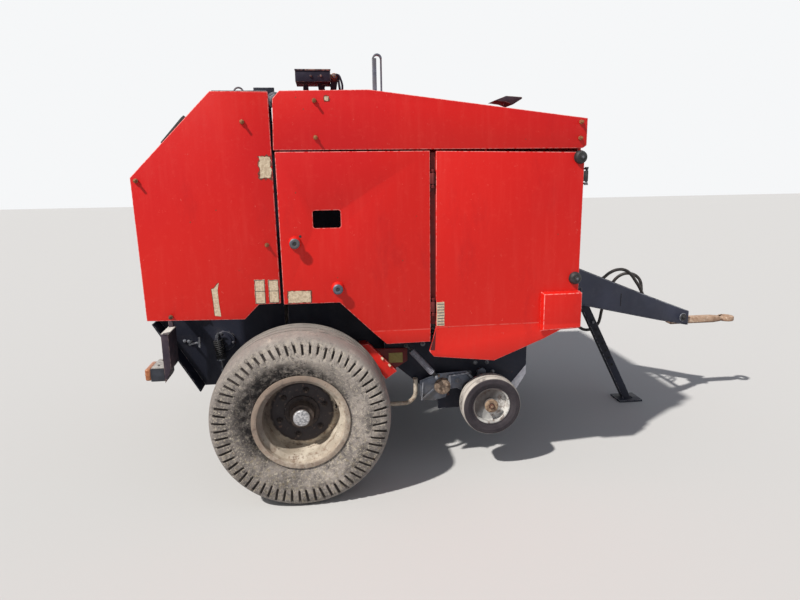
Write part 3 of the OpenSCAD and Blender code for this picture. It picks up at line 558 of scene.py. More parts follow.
def bend(bm, crease, side):
    """Bends what lies below the crease of a cover inwards."""
    bmesh.ops.bisect_plane(
        bm, geom=bm.verts[:] + bm.edges[:] + bm.faces[:], plane_co=(0, 0, crease), plane_no=(0, 0, 1))
    cos, sin = math.cos(CREASE_TURN), math.sin(CREASE_TURN)
    for v in bm.verts:
        drop = crease - v.co.z
        if drop > 1e-6:
            deep = COVER_HALF - side * v.co.y
            v.co.y = side * (COVER_HALF - deep * cos - drop * sin)
            v.co.z = crease - drop * cos + deep * sin
    return bm


def as_object(bm, name="part"):
    mesh = bpy.data.meshes.new(name)
    bm.to_mesh(mesh)
    bm.free()
    return new_object(name, mesh)


def cut(bm, cutter):
    """bm with the cutter's room taken out."""
    for part in (bm, cutter):
        bmesh.ops.recalc_face_normals(part, faces=part.faces[:])
    body, tool = as_object(bm), as_object(cutter)
    modifier = body.modifiers.new("cut", "BOOLEAN")
    modifier.object = tool
    modifier.solver = "EXACT"
    mesh = bpy.data.meshes.new_from_object(body.evaluated_get(bpy.context.evaluated_depsgraph_get()))
    bm = bmesh.new()
    bm.from_mesh(mesh)
    for obj in (body, tool):
        bpy.data.objects.remove(obj)
    bpy.data.meshes.remove(mesh)
    return bm


class Shape:
    """Collects solids into one mesh for a CAD node. Each solid keeps its place in the list of materials."""

    def __init__(self, node=None):
        self.node = node
        self.bm = bmesh.new()

    def half(self, side):
        return Half(self, side)

    def halves(self):
        return self.half(-1), self.half(1)

    def add(self, part, material=0, edge=None, width=0.0, segments=2, turned=None):
        """Adds a solid; its sharp edges are rounded by width in the edge's material."""
        bmesh.ops.recalc_face_normals(part, faces=part.faces[:])
        if turned is not None:
            bmesh.ops.transform(part, matrix=turned, verts=part.verts)
        for face in part.faces:
            face.material_index = material
        if width:
            sharp = [e for e in part.edges if e.is_manifold and e.calc_face_angle() > SHARP]
            bmesh.ops.bevel(
                part, geom=sharp, offset=width, segments=segments, profile=0.5, affect="EDGES",
                clamp_overlap=False, material=material if edge is None else edge)
        mesh = bpy.data.meshes.new("part")
        part.to_mesh(mesh)
        part.free()
        self.bm.from_mesh(mesh)
        bpy.data.meshes.remove(mesh)
        return self

    def bolt(self, place, axis, size, nut=0, stud=0, length=0.0, washer=None):
        """A hexagon nut of the given size across its corners, on a washer, with its stud's end."""
        place, axis = Vector(place), Vector(axis).normalized()
        if washer is not None:
            self.add(rod(place, place + axis * size * 0.12, size * 0.72, 20), washer, width=0.0006)
        self.add(rod(place, place + axis * size * 0.46, size * 0.5, 6), nut, width=size * 0.05)
        if length:
            self.add(rod(place, place + axis * length, size * 0.26, 14), stud, width=size * 0.05)

    def weld(self, points, radius=0.004, material=0):
        """A weld bead: a lumpy wire along points."""
        path = []
        for a, b in zip(points, points[1:]):
            steps = max(2, int((b - a).length / (radius * 1.2)))
            path += [a.lerp(b, i / steps) for i in range(steps)]
        path.append(points[-1])
        count = len(path)
        self.add(sweep(path, radius, 7, lambda t: 0.85 + 0.25 * math.sin(t * count * 1.9)), material)

    def tint(self, material, chosen):
        """Gives another material to the faces whose middle is chosen."""
        for face in self.bm.faces:
            if chosen(face.calc_center_median()):
                face.material_index = material

    def place(self, name, body, materials, smooth=32):
        for face in self.bm.faces:
            face.smooth = True
        for edge in self.bm.edges:
            if len(edge.link_faces) == 2 and edge.calc_face_angle(0) > math.radians(smooth):
                edge.smooth = False
        obj = as_object(self.bm, name)
        for material in materials:
            obj.data.materials.append(material)
        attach(obj, body)
        return obj

    def done(self, materials, slot="frame_paint", suffix="_skin", smooth=32, name=None):
        """Makes the piece that replaces the CAD node."""
        obj = self.place(name or self.node + suffix, BODY_OF[self.node], materials, smooth)
        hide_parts(self.node)


class Half:
    """Adds solids to one side of a shape. y counts outwards from the machine's middle."""

    def __init__(self, shape, side):
        self.shape, self.side = shape, side

    def at(self, x, y, z):
        return at(x, self.side * y, z)

    def box(self, low, high, *finish, **more):
        self.shape.add(box(self.at(*low), self.at(*high)), *finish, **more)

    def rod(self, a, b, radius, sides, *finish, end_radius=None, **more):
        self.shape.add(rod(self.at(*a), self.at(*b), radius, sides, end_radius), *finish, **more)

    def pin(self, x, z, y0, y1, *look, **more):
        """A rod along Y."""
        self.rod((x, y0, z), (x, y1, z), *look, **more)

    def plate(self, outline, y0, y1, *finish):
        self.shape.add(prism(outline, self.side * y0, self.side * y1), *finish)

    def lathe(self, place, profile, sides, *finish, closed=False, **more):
        """A profile of (how far out, radius) points turned about the Y axis through place."""
        profile = [(self.side * out, radius) for out, radius in profile]
        self.shape.add(lathe(self.at(*place), profile, sides, closed), *finish, **more)

    def wire(self, points, radius, sides, material):
        self.shape.add(sweep([self.at(*p) for p in points], radius, sides), material)

    def weld(self, points, *look):
        self.shape.weld([self.at(*p) for p in points], *look)

    def bolt(self, x, y, z, *look, axis=(0, 1, 0)):
        self.shape.bolt(self.at(x, y, z), (axis[0], self.side * axis[1], axis[2]), *look)

    def bolts(self, y, places, *look):
        for x, z in places:
            self.bolt(x, y, z, *look)


def rounded(node, width=0.002):
    """The CAD node's own shape with its edges rounded, as the first solid of a new piece."""
    source = NODES[node].data
    mesh = bpy.data.meshes.new("copy")
    mesh.from_pydata([v.co[:] for v in source.vertices], [], [tuple(p.vertices) for p in source.polygons])
    bm = bmesh.new()
    bm.from_mesh(mesh)
    bpy.data.meshes.remove(mesh)
    bmesh.ops.remove_doubles(bm, verts=bm.verts, dist=1e-5)
    bmesh.ops.dissolve_limit(bm, angle_limit=math.radians(1), verts=bm.verts[:], edges=bm.edges[:])
    return Shape(node).add(bm, 0, 1, width)


# Covers. Places on them are given as (x, z) and their faces count as y = COVER_HALF
COVER_LOOK = RED + [BOSS, GREY_NUT, PALE, RUST, ZINC[0], GLUE, PAINTED_SHADE]
R_PAINT, R_EDGE, R_BOSS, R_NUT, R_PALE, R_RUST, R_ZINC, R_GLUE, R_PAINTED_SHADE = range(9)
RUSTY_STUD = (0.021, R_RUST, R_RUST, 0.026)
# A second label lies on the glue that the first one left
ON_GLUE = COVER_HALF + 0.0006
MID_OUTLINE = [
    (-0.063, 1.625), (-0.059, 0.940), (0.198, 0.939), (0.345, 0.7925), (0.415, 0.7225), (MID_EDGE, 0.7245),
    (MID_EDGE, DOOR_TOP)]
FRONT_OUTLINE = [
    (0.625, 0.6695), (0.648, 0.6415), (0.952, 0.6045), (1.199, 0.7115), (COVER_FRONT, 0.7995),
    (COVER_FRONT, DOOR_TOP - 0.013), (FRONT_EDGE, DOOR_TOP - 0.001), (FRONT_EDGE, 0.7995)]
UPPER_OUTLINE = [
    (-0.069, 1.632), (1.348, 1.628), (1.366, 1.640), (1.366, 1.762), (0.358, 1.886), (-0.030, 1.881),
    (-0.061, 1.848)]
TAIL_OUTLINE = [
    (-0.079, 1.877), (-0.322, 1.879), (-0.682, 1.523), (-0.673, 0.887), (-0.240, 0.877), (-0.172, 0.945),
    (-0.073, 0.946)]
WINDOW = ((0.090, 1.288), (0.215, 1.367))
BUFFER_X, BUFFER_Z = 1.338, (1.587, 1.015)


def knuckles(half, pin_x, edge_x, paint):
    """Hinge eyes at a door's edge, round their pins."""
    reach = 1 if pin_x > edge_x else -1
    for z in HINGE_Z:
        half.rod((pin_x, HINGE_Y, z - 0.025), (pin_x, HINGE_Y, z + 0.025), 0.008, 18, paint, width=0.001)
        half.box((edge_x - reach * 0.001, HINGE_Y - 0.003, z - 0.024),
                 (pin_x - reach * 0.004, HINGE_Y + 0.003, z + 0.024), paint, width=0.001)


def label(half, x0, z0, x1, z1, material=R_PALE, y=COVER_HALF, ragged=0.0, seed=1, rules=()):
    """A blank aged label, with a torn outline where ragged, and thin dark rules at the given heights."""
    rand = random.Random(seed)
    corners = [(x0, z0), (x1, z0), (x1, z1), (x0, z1)]
    outline = []
    for (ax, az), (bx, bz) in zip(corners, corners[1:] + corners[:1]):
        steps = max(1, int(math.hypot(bx - ax, bz - az) / 0.008)) if ragged else 1
        for t in [k / steps for k in range(steps)]:
            outline.append((ax + (bx - ax) * t + rand.uniform(-ragged, ragged),
                            az + (bz - az) * t + rand.uniform(-ragged, ragged)))
    half.plate(outline, y - 0.0004, y + 0.0008, material)
    if rules:
        margin, thin, near, far = 0.002, 0.0011, y + 0.0007, y + 0.0013
        x0, x1, z0, z1 = x0 + margin, x1 - margin, z0 + margin, z1 - margin
        for x in (x0, x1):
            half.box((x - thin, near, z0), (x + thin, far, z1), R_BOSS)
        for z in (z0, *rules, z1):
            half.box((x0, near, z - thin), (x1, far, z + thin), R_BOSS)


def knob(half, x, z):
    """A cover latch: a painted cone with a bright round face that has a dark socket."""
    foot = (x, COVER_HALF, z)
    half.lathe(foot, [(-0.001, 0), (-0.001, 0.031), (0.010, 0.027), (0.019, 0.0185), (0.019, 0)],
               32, R_PAINT, R_EDGE, 0.0022)
    half.lathe(foot, [
        (0.018, 0), (0.018, 0.0170), (0.028, 0.0175), (0.030, 0.0235), (0.038, 0.0235), (0.041, 0.019),
        (0.041, 0.010), (0.038, 0.009), (0.038, 0)], 30, R_ZINC, width=0.0006)
    half.pin(x, z, COVER_HALF + 0.036, COVER_HALF + 0.0386, 0.0088, 6, R_BOSS)


def mid_door_extra(half):
    # Painted shade: the mid door's hinge eyes are dark red
    knuckles(half, MID_PIN, MID_EDGE, R_PAINTED_SHADE)
    knob(half, 0.005, 1.223)
    knob(half, 0.191, 1.008)
    # Painted shade: a flat black disc for the darkness of a small hole
    half.pin(0.030, 1.252, COVER_HALF - 0.001, COVER_HALF + 0.0006, 0.006, 16, R_BOSS)
    label(half, -0.041, 0.944, 0.069, 1.004, R_GLUE, ragged=0.003, seed=4)
    label(half, -0.037, 0.947, 0.064, 1.000, y=ON_GLUE, ragged=0.002, seed=3)


def front_door_extra(half):
    """Hinges, rubber buffers, the raised corner, a ruled label, and painted shade at the rear edge: a thin dark red
    patch below the crease and dark red strips in the recess.
    """
    knuckles(half, FRONT_PIN, COVER_FRONT, R_BOSS)
    for z in BUFFER_Z:
        half.lathe((BUFFER_X, COVER_HALF, z), [
            (-0.002, 0), (-0.002, 0.032), (0.012, 0.029), (0.021, 0.021), (0.021, 0)], 30, R_BOSS, width=0.001)
        half.bolt(BUFFER_X, COVER_HALF + 0.020, z, 0.024, R_BOSS, R_NUT, 0.014, R_BOSS)
    near, out = COVER_HALF - 0.001, COVER_HALF + 0.034
    half.shape.add(loft([
        [half.at(x, near, z) for x, z in ((1.170, 0.755), (1.365, 0.762), (1.365, 0.953), (1.170, 0.953))],
        [half.at(x, out, z) for x, z in ((1.176, 0.768), (1.365, 0.776), (1.365, 0.947), (1.176, 0.946))]]),
        R_PAINT, R_EDGE, 0.003, 3)
    label(half, 0.6565, 0.806, 0.6935, 0.922, ragged=0.0008, seed=5)
    side = half.side
    # Painted shade: a thin dark red patch on the door's face below the crease, at the rear edge
    fold_shade_patch = prism([(0.6535, 0.790), (0.6275, 0.680), (0.650, 0.677)],
                 side * (COVER_HALF - 0.0004), side * (COVER_HALF + 0.0006))
    half.shape.add(bend(fold_shade_patch, CREASE_FRONT, side), R_PAINTED_SHADE)
    for z in [0.812 + k * 0.014 for k in range(8)]:
        half.box((0.660, COVER_HALF + 0.0008, z), (0.6925, COVER_HALF + 0.0016, z + 0.0036), R_NUT)
    # Painted shade: dark red strips in the recess behind the mid door's edge
    for low, high in ((0.812, 0.858), (0.942, 1.458), (1.542, 1.616)):
        half.box((0.6325, 0.8790, low), (0.6560, 0.8820, high), R_PAINTED_SHADE)


def upper_extra(half):
    half.bolts(COVER_HALF, ((0.118, 1.840), (0.117, 1.685), (1.333, 1.745), (1.332, 1.673)), *RUSTY_STUD)
    label(half, 0.160, 1.836, 0.186, 1.860, R_GLUE, ragged=0.004, seed=11)
    label(half, 0.164, 1.840, 0.181, 1.856, y=ON_GLUE, ragged=0.003, seed=12)


def tail_extra(half):
    half.bolts(COVER_HALF, ((-0.194, 1.752), (-0.657, 1.510), (-0.120, 1.218), (-0.566, 0.903)), *RUSTY_STUD)
    label(half, -0.136, 1.508, -0.080, 1.612, R_GLUE, ragged=0.006, seed=10)
    label(half, -0.132, 1.516, -0.083, 1.605, y=ON_GLUE, ragged=0.004, seed=7)
    label(half, -0.187, 0.948, -0.140, 1.060, ragged=0.001, seed=8, rules=(1.006,))
    label(half, -0.125, 0.950, -0.079, 1.058, ragged=0.001, seed=9, rules=(1.006,))
    tape = [(-0.372, 0.900), (-0.345, 0.896), (-0.350, 0.960), (-0.352, 1.020), (-0.344, 1.052), (-0.352, 1.046),
            (-0.366, 1.028), (-0.378, 1.024), (-0.374, 0.960)]
    half.plate([(x - 0.003, z + 0.002) for x, z in tape], COVER_HALF - 0.0004, COVER_HALF + 0.0006, R_GLUE)
    half.plate(tape, COVER_HALF - 0.0004, COVER_HALF + 0.001, R_PALE)


def anticlockwise(points):
    area = sum(a[0] * b[1] - b[0] * a[1] for a, b in zip(points, points[1:] + points[:1]))
    return points if area > 0 else points[::-1]


def window(bm, side):
    """A cover with the window's rounded hole."""
    (x0, z0), (x1, z1) = WINDOW
    hole = box(at(x0, side * 0.80, z0), at(x1, side * 0.95, z1))
    upright = [e for e in hole.edges if abs(e.verts[0].co.y - e.verts[1].co.y) > 0.05]
    bmesh.ops.bevel(hole, geom=upright, offset=0.010, segments=4, profile=0.5, affect="EDGES")
    return cut(bm, hole)


def cover(shape, side, outline, extra, depth=COVER_T, crease=None, opened=False):
    """Adds a red cover to a shape, and what extra adds to it. Its rounded edge is pale, for worn paint and as a
    painted highlight.
    """
    bm = tray(anticlockwise(outline), side, depth)
    if crease:
        bend(bm, crease, side)
    if opened:
        bm = window(bm, side)
    shape.add(bm, R_PAINT, R_EDGE, 0.0028, 3)
    extra(shape.half(side))


for side_name, side in SIDES:
    for node, *look in (("door_mid_", MID_OUTLINE, mid_door_extra, COVER_T, CREASE_MID, True),
                        ("door_front_", FRONT_OUTLINE, front_door_extra, COVER_T, CREASE_FRONT)):
        shape = Shape(node + side_name)
        cover(shape, side, *look)
        shape.done(COVER_LOOK, "red_paint", "_sheet")

# The fixed covers are one piece for both sides
for node, *look in (("upper_panels", UPPER_OUTLINE, upper_extra, COVER_HALF - RAIL_Y),
                    ("tail_panels", TAIL_OUTLINE, tail_extra)):
    shape = Shape(node)
    for _, side in SIDES:
        cover(shape, side, *look)
    shape.done(COVER_LOOK, "red_paint", "_sheet")

# Wheels
WHEEL_HALF = 0.930
TYRE_R = AXLE_Z
TYRE_HALF = 0.145
SEAT_R = 0.2073
LUGS = 64
# Where one pitch is cut: close together at both edges of its slit
LUG_CUTS = (0.0, 0.15, 0.30, 0.35, 0.40, 0.50, 0.60, 0.65, 0.70, 0.85)
SLIT_R = (0.316, 0.408)
GROOVES = (-0.050, 0.0, 0.050)
GROOVE_DEPTH = 0.009
GAUGE_AT = (0.946, 0.363)
GAUGE_HALF = 0.822
GAUGE_R = 0.152
NUT_CIRCLE = 0.112
DISC_Y = WHEEL_HALF - 0.006
CAP_Y = WHEEL_HALF + 0.066
GAUGE_DISC_Y = GAUGE_HALF + 0.038
# One flank of a tyre from bead to tread: share of half the width, share of the section height
FLANK = ((0.78, 0), (0.80, 0.09), (0.90, 0.24), (0.99, 0.42), (1, 0.62), (0.93, 0.86), (0.78, 0.96), (0.5, 1))


def tyre_section(half, seat_r, outer_r, grooves, groove_half, depth):
    """A closed section of (y, radius) from bead to bead, with round grooves in its tread."""
    flank = [(min(p[0], 1) * half, seat_r + min(p[1], 1) * (outer_r - seat_r)) for p in smooth_line(FLANK, 4)]
    crown = []
    for y in reversed(grooves):
        crown += [(y + groove_half, outer_r), (y + groove_half * 0.6, outer_r - depth),
                  (y - groove_half * 0.6, outer_r - depth), (y - groove_half, outer_r)]
    return flank + crown + [(-y, r) for y, r in reversed(flank)]


def turned_tyre(centre, section, turns, form):
    """A tyre turned about Y. form moves a section's point (y, r) as its angle asks."""
    loops = []
    for angle in turns:
        moved = [form(y, r, angle) for y, r in section]
        loops.append([centre + Vector((r * math.cos(angle + twist), y, r * math.sin(angle + twist)))
                      for y, r, twist in moved])
    return loft(loops, ring=True)


def step(value, low, high):
    t = min(1, max(0, (value - low) / (high - low)))
    return t * t * (3 - 2 * t)


def scatter(lug, seed):
    """A number from 0 to 1 that belongs to one lug."""
    return math.sin(lug % LUGS * seed) * 43758.5453 % 1


def slit_depth(y, r, angle):
    """How deep the flank is slit there, from 0 to 1; no two slits are quite alike."""
    pitch = angle * LUGS / (2 * math.pi)
    turn, odd = pitch % 1, scatter(int(pitch // 1), 12.9898)
    worn_short = 0.020 * step(math.sin(angle), 0.1, 0.9)
    inner, outer = SLIT_R[0] + 0.014 * odd, SLIT_R[1] - 0.008 * (1 - odd) - worn_short
    along = step(r, inner, inner + 0.016) * step(outer - r, 0, 0.010) * step(abs(y), 0.085, 0.098)
    return (0.70 + 0.30 * odd) * step(turn, 0.31, 0.39) * step(0.69 - turn, 0, 0.08) * along


def road_tread(y, r, angle):
    """Wavy grooves in the tread and nearly upright slits in the shoulders."""
    out = abs(y)
    pitch = angle * LUGS / (2 * math.pi)
    odd = scatter(int(pitch + 1e-6), 78.233)
    sway = 0.7 * (odd - 0.5) * (r - 0.365) * math.sin(math.pi * (pitch % 1)) * step(out, 0.07, 0.10)
    lean = sway - 0.10 * (TYRE_R - r) / TYRE_R
    if r > TYRE_R - 0.020 and out < 0.0725:
        return y + 0.003 * math.sin(math.pi * pitch) * step(0.0725 - out, 0, 0.006), r, lean
    push = 0.013 * slit_depth(y, r, angle)
    away = Vector((out - 0.07, r - TYRE_R + 0.09)).normalized()
    return math.copysign(out - push * away.x, y), r - push * away.y, lean


GAUGE_CENTRE = (AXLE_X + GAUGE_AT[0], GAUGE_AT[1])
ROAD_RUBBER = tyre_rubber(
    "tyre_rubber", (AXLE_X, AXLE_Z), TYRE_R, ((98, 93, 91), (160, 152, 146)), (134, 128, 124))
GAUGE_RUBBER = tyre_rubber(
    "gauge_rubber", GAUGE_CENTRE, GAUGE_R, ((50, 46, 51), (66, 61, 65)), (212, 205, 197), False, (0.950, 0.978))
# Both rims are painted darker toward the upper left as shade
ROAD_RIM = cream_rim("rim_paint", (AXLE_X, AXLE_Z), 0.146, (-0.05, 0.16))
GAUGE_RIM = cream_rim(
    "gauge_rim_paint", GAUGE_CENTRE, 0.0, (-0.02, 0.04), (150, 149, 148), (212, 210, 206), (112, 96, 88))


def road_wheel(side_name, side):
    section = tyre_section(TYRE_HALF, SEAT_R, TYRE_R, GROOVES, 0.007, GROOVE_DEPTH)
    turns = [2 * math.pi * (k + share) / LUGS for k in range(LUGS) for share in LUG_CUTS]
    tyre = Shape("tyre_" + side_name).add(
        turned_tyre(at(0, side * WHEEL_HALF, AXLE_Z), section, turns, road_tread))
    tyre.bm.faces.ensure_lookup_table()
    # Painted shade: faces deep in the shoulder slits take the darker slit material
    for k, (low, high) in enumerate(zip(turns, turns[1:] + [2 * math.pi])):
        for i, (a, b) in enumerate(zip(section, section[1:] + section[:1])):
            if slit_depth((a[0] + b[0]) / 2, (a[1] + b[1]) / 2, (low + high) / 2) > 0.5:
                tyre.bm.faces[k * len(section) + i].material_index = 1
    tyre.done([ROAD_RUBBER, SLIT_SHADE], "tyre", "_tread", 50)

    rim = rounded("rim_" + side_name, 0.0015)
    half = rim.half(side)
    for x, z in circle(NUT_CIRCLE, 6, 18):
        half.pin(x, AXLE_Z + z, DISC_Y, DISC_Y + 0.006, 0.015, 24, 3, end_radius=0.013)
        half.bolt(x, DISC_Y + 0.004, AXLE_Z + z, 0.024, 3, 2, 0.024)
    valve = ((0.160, -0.012), (0.164, 0.006), (0.162, 0.022))
    half.wire([(x, DISC_Y + out, AXLE_Z + 0.02) for x, out in valve], 0.0045, 10, 4)
    rim.done([ROAD_RIM, ROAD_RIM, MUD, DARK_NUT, BOSS], "rim_paint", "_disc")

    hub = rounded("hub_" + side_name, 0.002)
    half = hub.half(side)
    half.lathe((0, CAP_Y, AXLE_Z), [
        (-0.002, 0), (-0.002, 0.039), (0.008, 0.039), (0.013, 0.034), (0.0155, 0.018), (0.016, 0)], 32, 2)
    half.lathe((0, DISC_Y, AXLE_Z), [(-0.002, 0.062), (-0.002, 0.083), (0.006, 0.081), (0.006, 0.064)],
               40, 3, closed=True)
    hub.done([MUD, MUD, HUB_CAP, DARK_NUT], suffix="_cap")


def gauge_wheel(side_name, side):
    x, z = GAUGE_AT
    section = tyre_section(0.052, 0.0963, GAUGE_R, (-0.019, 0.019), 0.004, 0.006)
    turns = [math.pi * k / 60 for k in range(120)]
    tyre = Shape("gauge_tyre_" + side_name).add(
        turned_tyre(at(x, side * GAUGE_HALF, z), section, turns, lambda y, r, angle: (y, r, 0.0)))
    tyre.done([GAUGE_RUBBER], "tyre", "_tread", 50)
    rim = rounded("gauge_rim_" + side_name, 0.0012)
    half = rim.half(side)
    half.lathe((x, GAUGE_DISC_Y, z), [
        (-0.004, 0.016), (-0.004, 0.0345), (0.002, 0.0345), (0.005, 0.028), (0.005, 0.016)],
        32, 2, closed=True, width=0.0005)
    half.bolt(x, GAUGE_DISC_Y, z, 0.028, 3, 2, 0.014)
    rim.done([GAUGE_RIM, GAUGE_RIM, CLAY, BROWN_NUT], "rim_paint", "_dish")


for side_name, side in SIDES:
    road_wheel(side_name, side)
    gauge_wheel(side_name, side)

# Chamber: walls with bolted bearings, ribbed rollers at angles round a ring
RING_R = 0.600
CHAMBER_Z = 1.165
CHAMBER_HALF = 0.604
WALL_OUT = 0.612
BEAM_OUT = WALL_OUT + 0.060
EAR_OUT = WALL_OUT + 0.056
BEARING_Y = WALL_OUT + 0.018
ROLLERS = {
    "rollers_top": (88, 68, 48), "rollers_front": (28, 8, -12, -32), "rollers_inlet": (-68, -88),
    "tail_rollers_upper": (110, 130, 150, 170), "tail_rollers_lower": (190, 210, 230, 250)}
# A roller's rib as (share of its pitch, radius)
RIB = ((0.0, 0.070), (0.30, 0.069), (0.40, 0.0775), (0.58, 0.0775), (0.68, 0.069))
WALL_BOLT = (0.020, 2, 2, 0.014, 2)


def on_ring(angle):
    (x, z), = circle(RING_R, 1, angle)
    return x, CHAMBER_Z + z


def bearings(shape, *rows):
    """A bearing at each roller's end: a flat ring and three bolts."""
    for half in shape.halves():
        for angle in [angle for row in rows for angle in ROLLERS[row]]:
            x, z = on_ring(angle)
            half.lathe((x, BEARING_Y, z), [
                (-0.002, 0.022), (-0.002, 0.036), (0.006, 0.034), (0.008, 0.026), (0.008, 0.022)],
                28, 0, closed=True)
            half.bolts(BEARING_Y, [(x + dx, z + dz) for dx, dz in circle(0.042, 3, angle)], 0.014, 2, 2, 0.011)


for node, angles in ROLLERS.items():
    shape = Shape(node)
    drum = CHAMBER_HALF - 0.012
    for x, z in map(on_ring, angles):
        shape.add(prism([(x + dx, z + dz) for dx, dz in toothed(10, RIB)], -drum, drum), 0)
        for half in shape.halves():
            half.pin(x, z, drum, drum + 0.004, 0.062, 40, 1)
            half.weld([(x + dx, drum + 0.004, z + dz) for dx, dz in closed_circle(0.024, 16)], 0.003, 1)
        shape.add(rod(at(x, -CHAMBER_HALF, z), at(x, CHAMBER_HALF, z), 0.022, 24), 1)
    shape.done([STEEL, RUST], "bare_steel", "_drums")

# Carrying structure
shape = rounded("main_frame", 0.0015)
bearings(shape, "rollers_top", "rollers_front", "rollers_inlet")
for half in shape.halves():
    half.bolts(WALL_OUT, (
        (0.10, 0.52), (0.22, 0.55), (0.36, 0.60), (0.52, 0.86), (0.62, 0.98), (0.66, 1.30), (0.60, 1.52),
        (0.10, 1.80), (0.24, 1.79), (-0.02, 0.60)), *WALL_BOLT)
    for z0, z1 in ((0.50, 0.74), (0.95, 1.10), (1.42, 1.60)):
        half.box((-0.055, WALL_OUT, z0), (-0.047, WALL_OUT + 0.020, z1), 0, 1, 0.0015)
shape.done(DARK + [GREY_NUT])

shape = rounded("frame_beams", 0.003)
for half in shape.halves():
    half.bolts(BEAM_OUT, ((0.64, 0.825), (0.66, 0.895), (0.66, 0.825), (0.68, 0.895)), 0.022, 2, 2, 0.016, 2)
    for z in (0.86, 0.92):
        half.bolt(1.395, 0.30, z, 0.022, 2, 2, 0.014, 2, axis=(-1, 0, 0))
    half.weld([(1.400, WALL_OUT + 0.002, z) for z in (0.802, 0.918)])
shape.done(DARK + [GREY_NUT])

shape = rounded("axle", 0.004)
for half in shape.halves():
    for x in (-0.048, 0.048):
        for y in (0.56, 0.60):
            half.rod((x, y, AXLE_Z - 0.046), (x, y, AXLE_Z + 0.046), 0.007, 14, 2)
            half.bolt(x, y, AXLE_Z - 0.040, 0.022, 2, axis=(0, 0, -1))
    half.weld([(x, 0.701, AXLE_Z + z) for x, z in closed_circle(0.046, 20)])
shape.done(DARK + [GREY_NUT])

shape = rounded("cover_frame", 0.0025)
# Painted shade: the lugs and hinge pins in the mid door's gap are dark red
shape.tint(3, lambda spot: abs(spot.x - AXLE_X - 0.642) < 0.022 and abs(spot.y) > 0.884)
for half in shape.halves():
    for x, material in ((MID_PIN, 3), (FRONT_PIN, 2)):
        for z in HINGE_Z:
            for lift in (-0.038, 0.038):
                half.rod((x, HINGE_Y, z + lift), (x, HINGE_Y, z + lift * 1.10), 0.0095, 6, material)
shape.done(DARK + [GREY_NUT, PAINTED_SHADE])

# Drawbar: worn top edge, welded seams, a ring bolt at its tip. Tables along X of the beams' outer face and edges
BAR_OUT = ((1.480, 0.540), (2.207, 0.200), (2.400, 0.0825), (2.506, 0.0465))
BAR_TOP = ((1.480, 1.013), (2.207, 0.720), (2.400, 0.646), (2.506, 0.606))
BAR_LOW = ((1.480, 0.808), (2.207, 0.596), (2.400, 0.541), (2.506, 0.513))
# The worn patch on the top edge as (x, how far its inner border strays)
WORN = ((1.885, 0.004), (1.93, -0.002), (1.98, 0.002), (2.03, -0.001))


def bar_line(x, table):
    """Looks a value up between the (x, value) pairs of a table."""
    for (x0, v0), (x1, v1) in zip(table, table[1:]):
        if x <= x1:
            return v0 + (v1 - v0) * (x - x0) / (x1 - x0)
    return table[-1][1]


def bar_point(x, share):
    """A place on the outer face of a drawbar beam, share of the way up."""
    low, top = bar_line(x, BAR_LOW), bar_line(x, BAR_TOP)
    return x, bar_line(x, BAR_OUT), low + share * (top - low)


shape = rounded("drawbar", 0.004)
for half in shape.halves():
    half.weld([bar_point(1.482, share) for share in (0.10, 0.80)], 0.006)
    half.weld([bar_point(1.861, share) for share in (0.25, 0.70)], 0.0035, 3)
    place = half.at(*bar_point(2.452, 0.45))
    out = Vector((0.22, half.side, 0)).normalized()
    shape.add(rod(place - out * 0.004, place + out * 0.005, 0.028, 28), 5, width=0.002)
    shape.add(rod(place + out * 0.004, place + out * 0.009, 0.024, 28), 3, width=0.001)
    shape.bolt(place + out * 0.008, out, 0.028, 3, 3, 0.018)
    for a, b in zip(WORN, WORN[1:]):
        (x0, y0, z0), (x1, y1, z1) = bar_point(a[0], 1), bar_point(b[0], 1)
        shape.add(loft([[
            half.at(x0, y0 - 0.004, z0 + up), half.at(x1, y1 - 0.004, z1 + up),
            half.at(x1, y1 - 0.034 + b[1], z1 + up), half.at(x0, y0 - 0.034 + a[1], z0 + up)] for up in (0.0006, -0.003)]), 4)
    half.wire([(x, y - 0.003, z - 0.001) for x, y, z in (bar_point(x, 1) for x in (2.215, 2.40, 2.503))],
              0.0028, 8, 5)
shape.done(DRAWBAR + [GREY_NUT, BOSS, CLAY, ZINC[1]])

shape = rounded("tow_eye", 0.005)
shape.bolt(at(2.47, 0, EYE_Z + 0.019), (0, 0, 1), 0.034, 1, 1, 0.026, 1)
shape.done([TONGUE] * 2, "rusty_steel")

# Gearbox: ribbed housing, flange with bolts, splined shaft
DRIVE_X, DRIVE_Z = 1.400, 1.070
shape = rounded("gearbox", 0.006)
for half in shape.halves():
    for x in (1.365, 1.395, 1.425, 1.455):
        half.box((x, 0.108, 0.990), (x + 0.008, 0.118, 1.150), 0, 1, 0.002)
    for x in (1.365, 1.475):
        half.bolt(x, 0.085, 1.170, 0.020, 2, axis=(0, 0, 1))
for y, z in circle(0.074, 6, 30):
    shape.bolt(at(1.500, y, DRIVE_Z + z), (1, 0, 0), 0.018, 2, 2, 0.012)
shape.add(rod(at(1.42, 0, 1.170), at(1.42, 0, 1.184), 0.014, 6), 3, width=0.001)
for y, z in circle(0.0150, 6):
    shape.add(rod(at(1.545, y, DRIVE_Z + z), at(1.617, y, DRIVE_Z + z), 0.0034, 8), 3)
shape.done(DARK + [GREY_NUT, STEEL])

shape = rounded("drive_shaft", 0.002)
half = shape.half(1)
for y in (0.146, 0.611, 0.811):
    half.lathe((DRIVE_X, y, DRIVE_Z), collar(0.011, 0.027, 0.040), 32, 0, 1, 0.002, closed=True)
    half.bolt(DRIVE_X, y, DRIVE_Z + 0.039, 0.012, 2, axis=(0, 0, 1))
shape.done(DARK + [GREY_NUT])

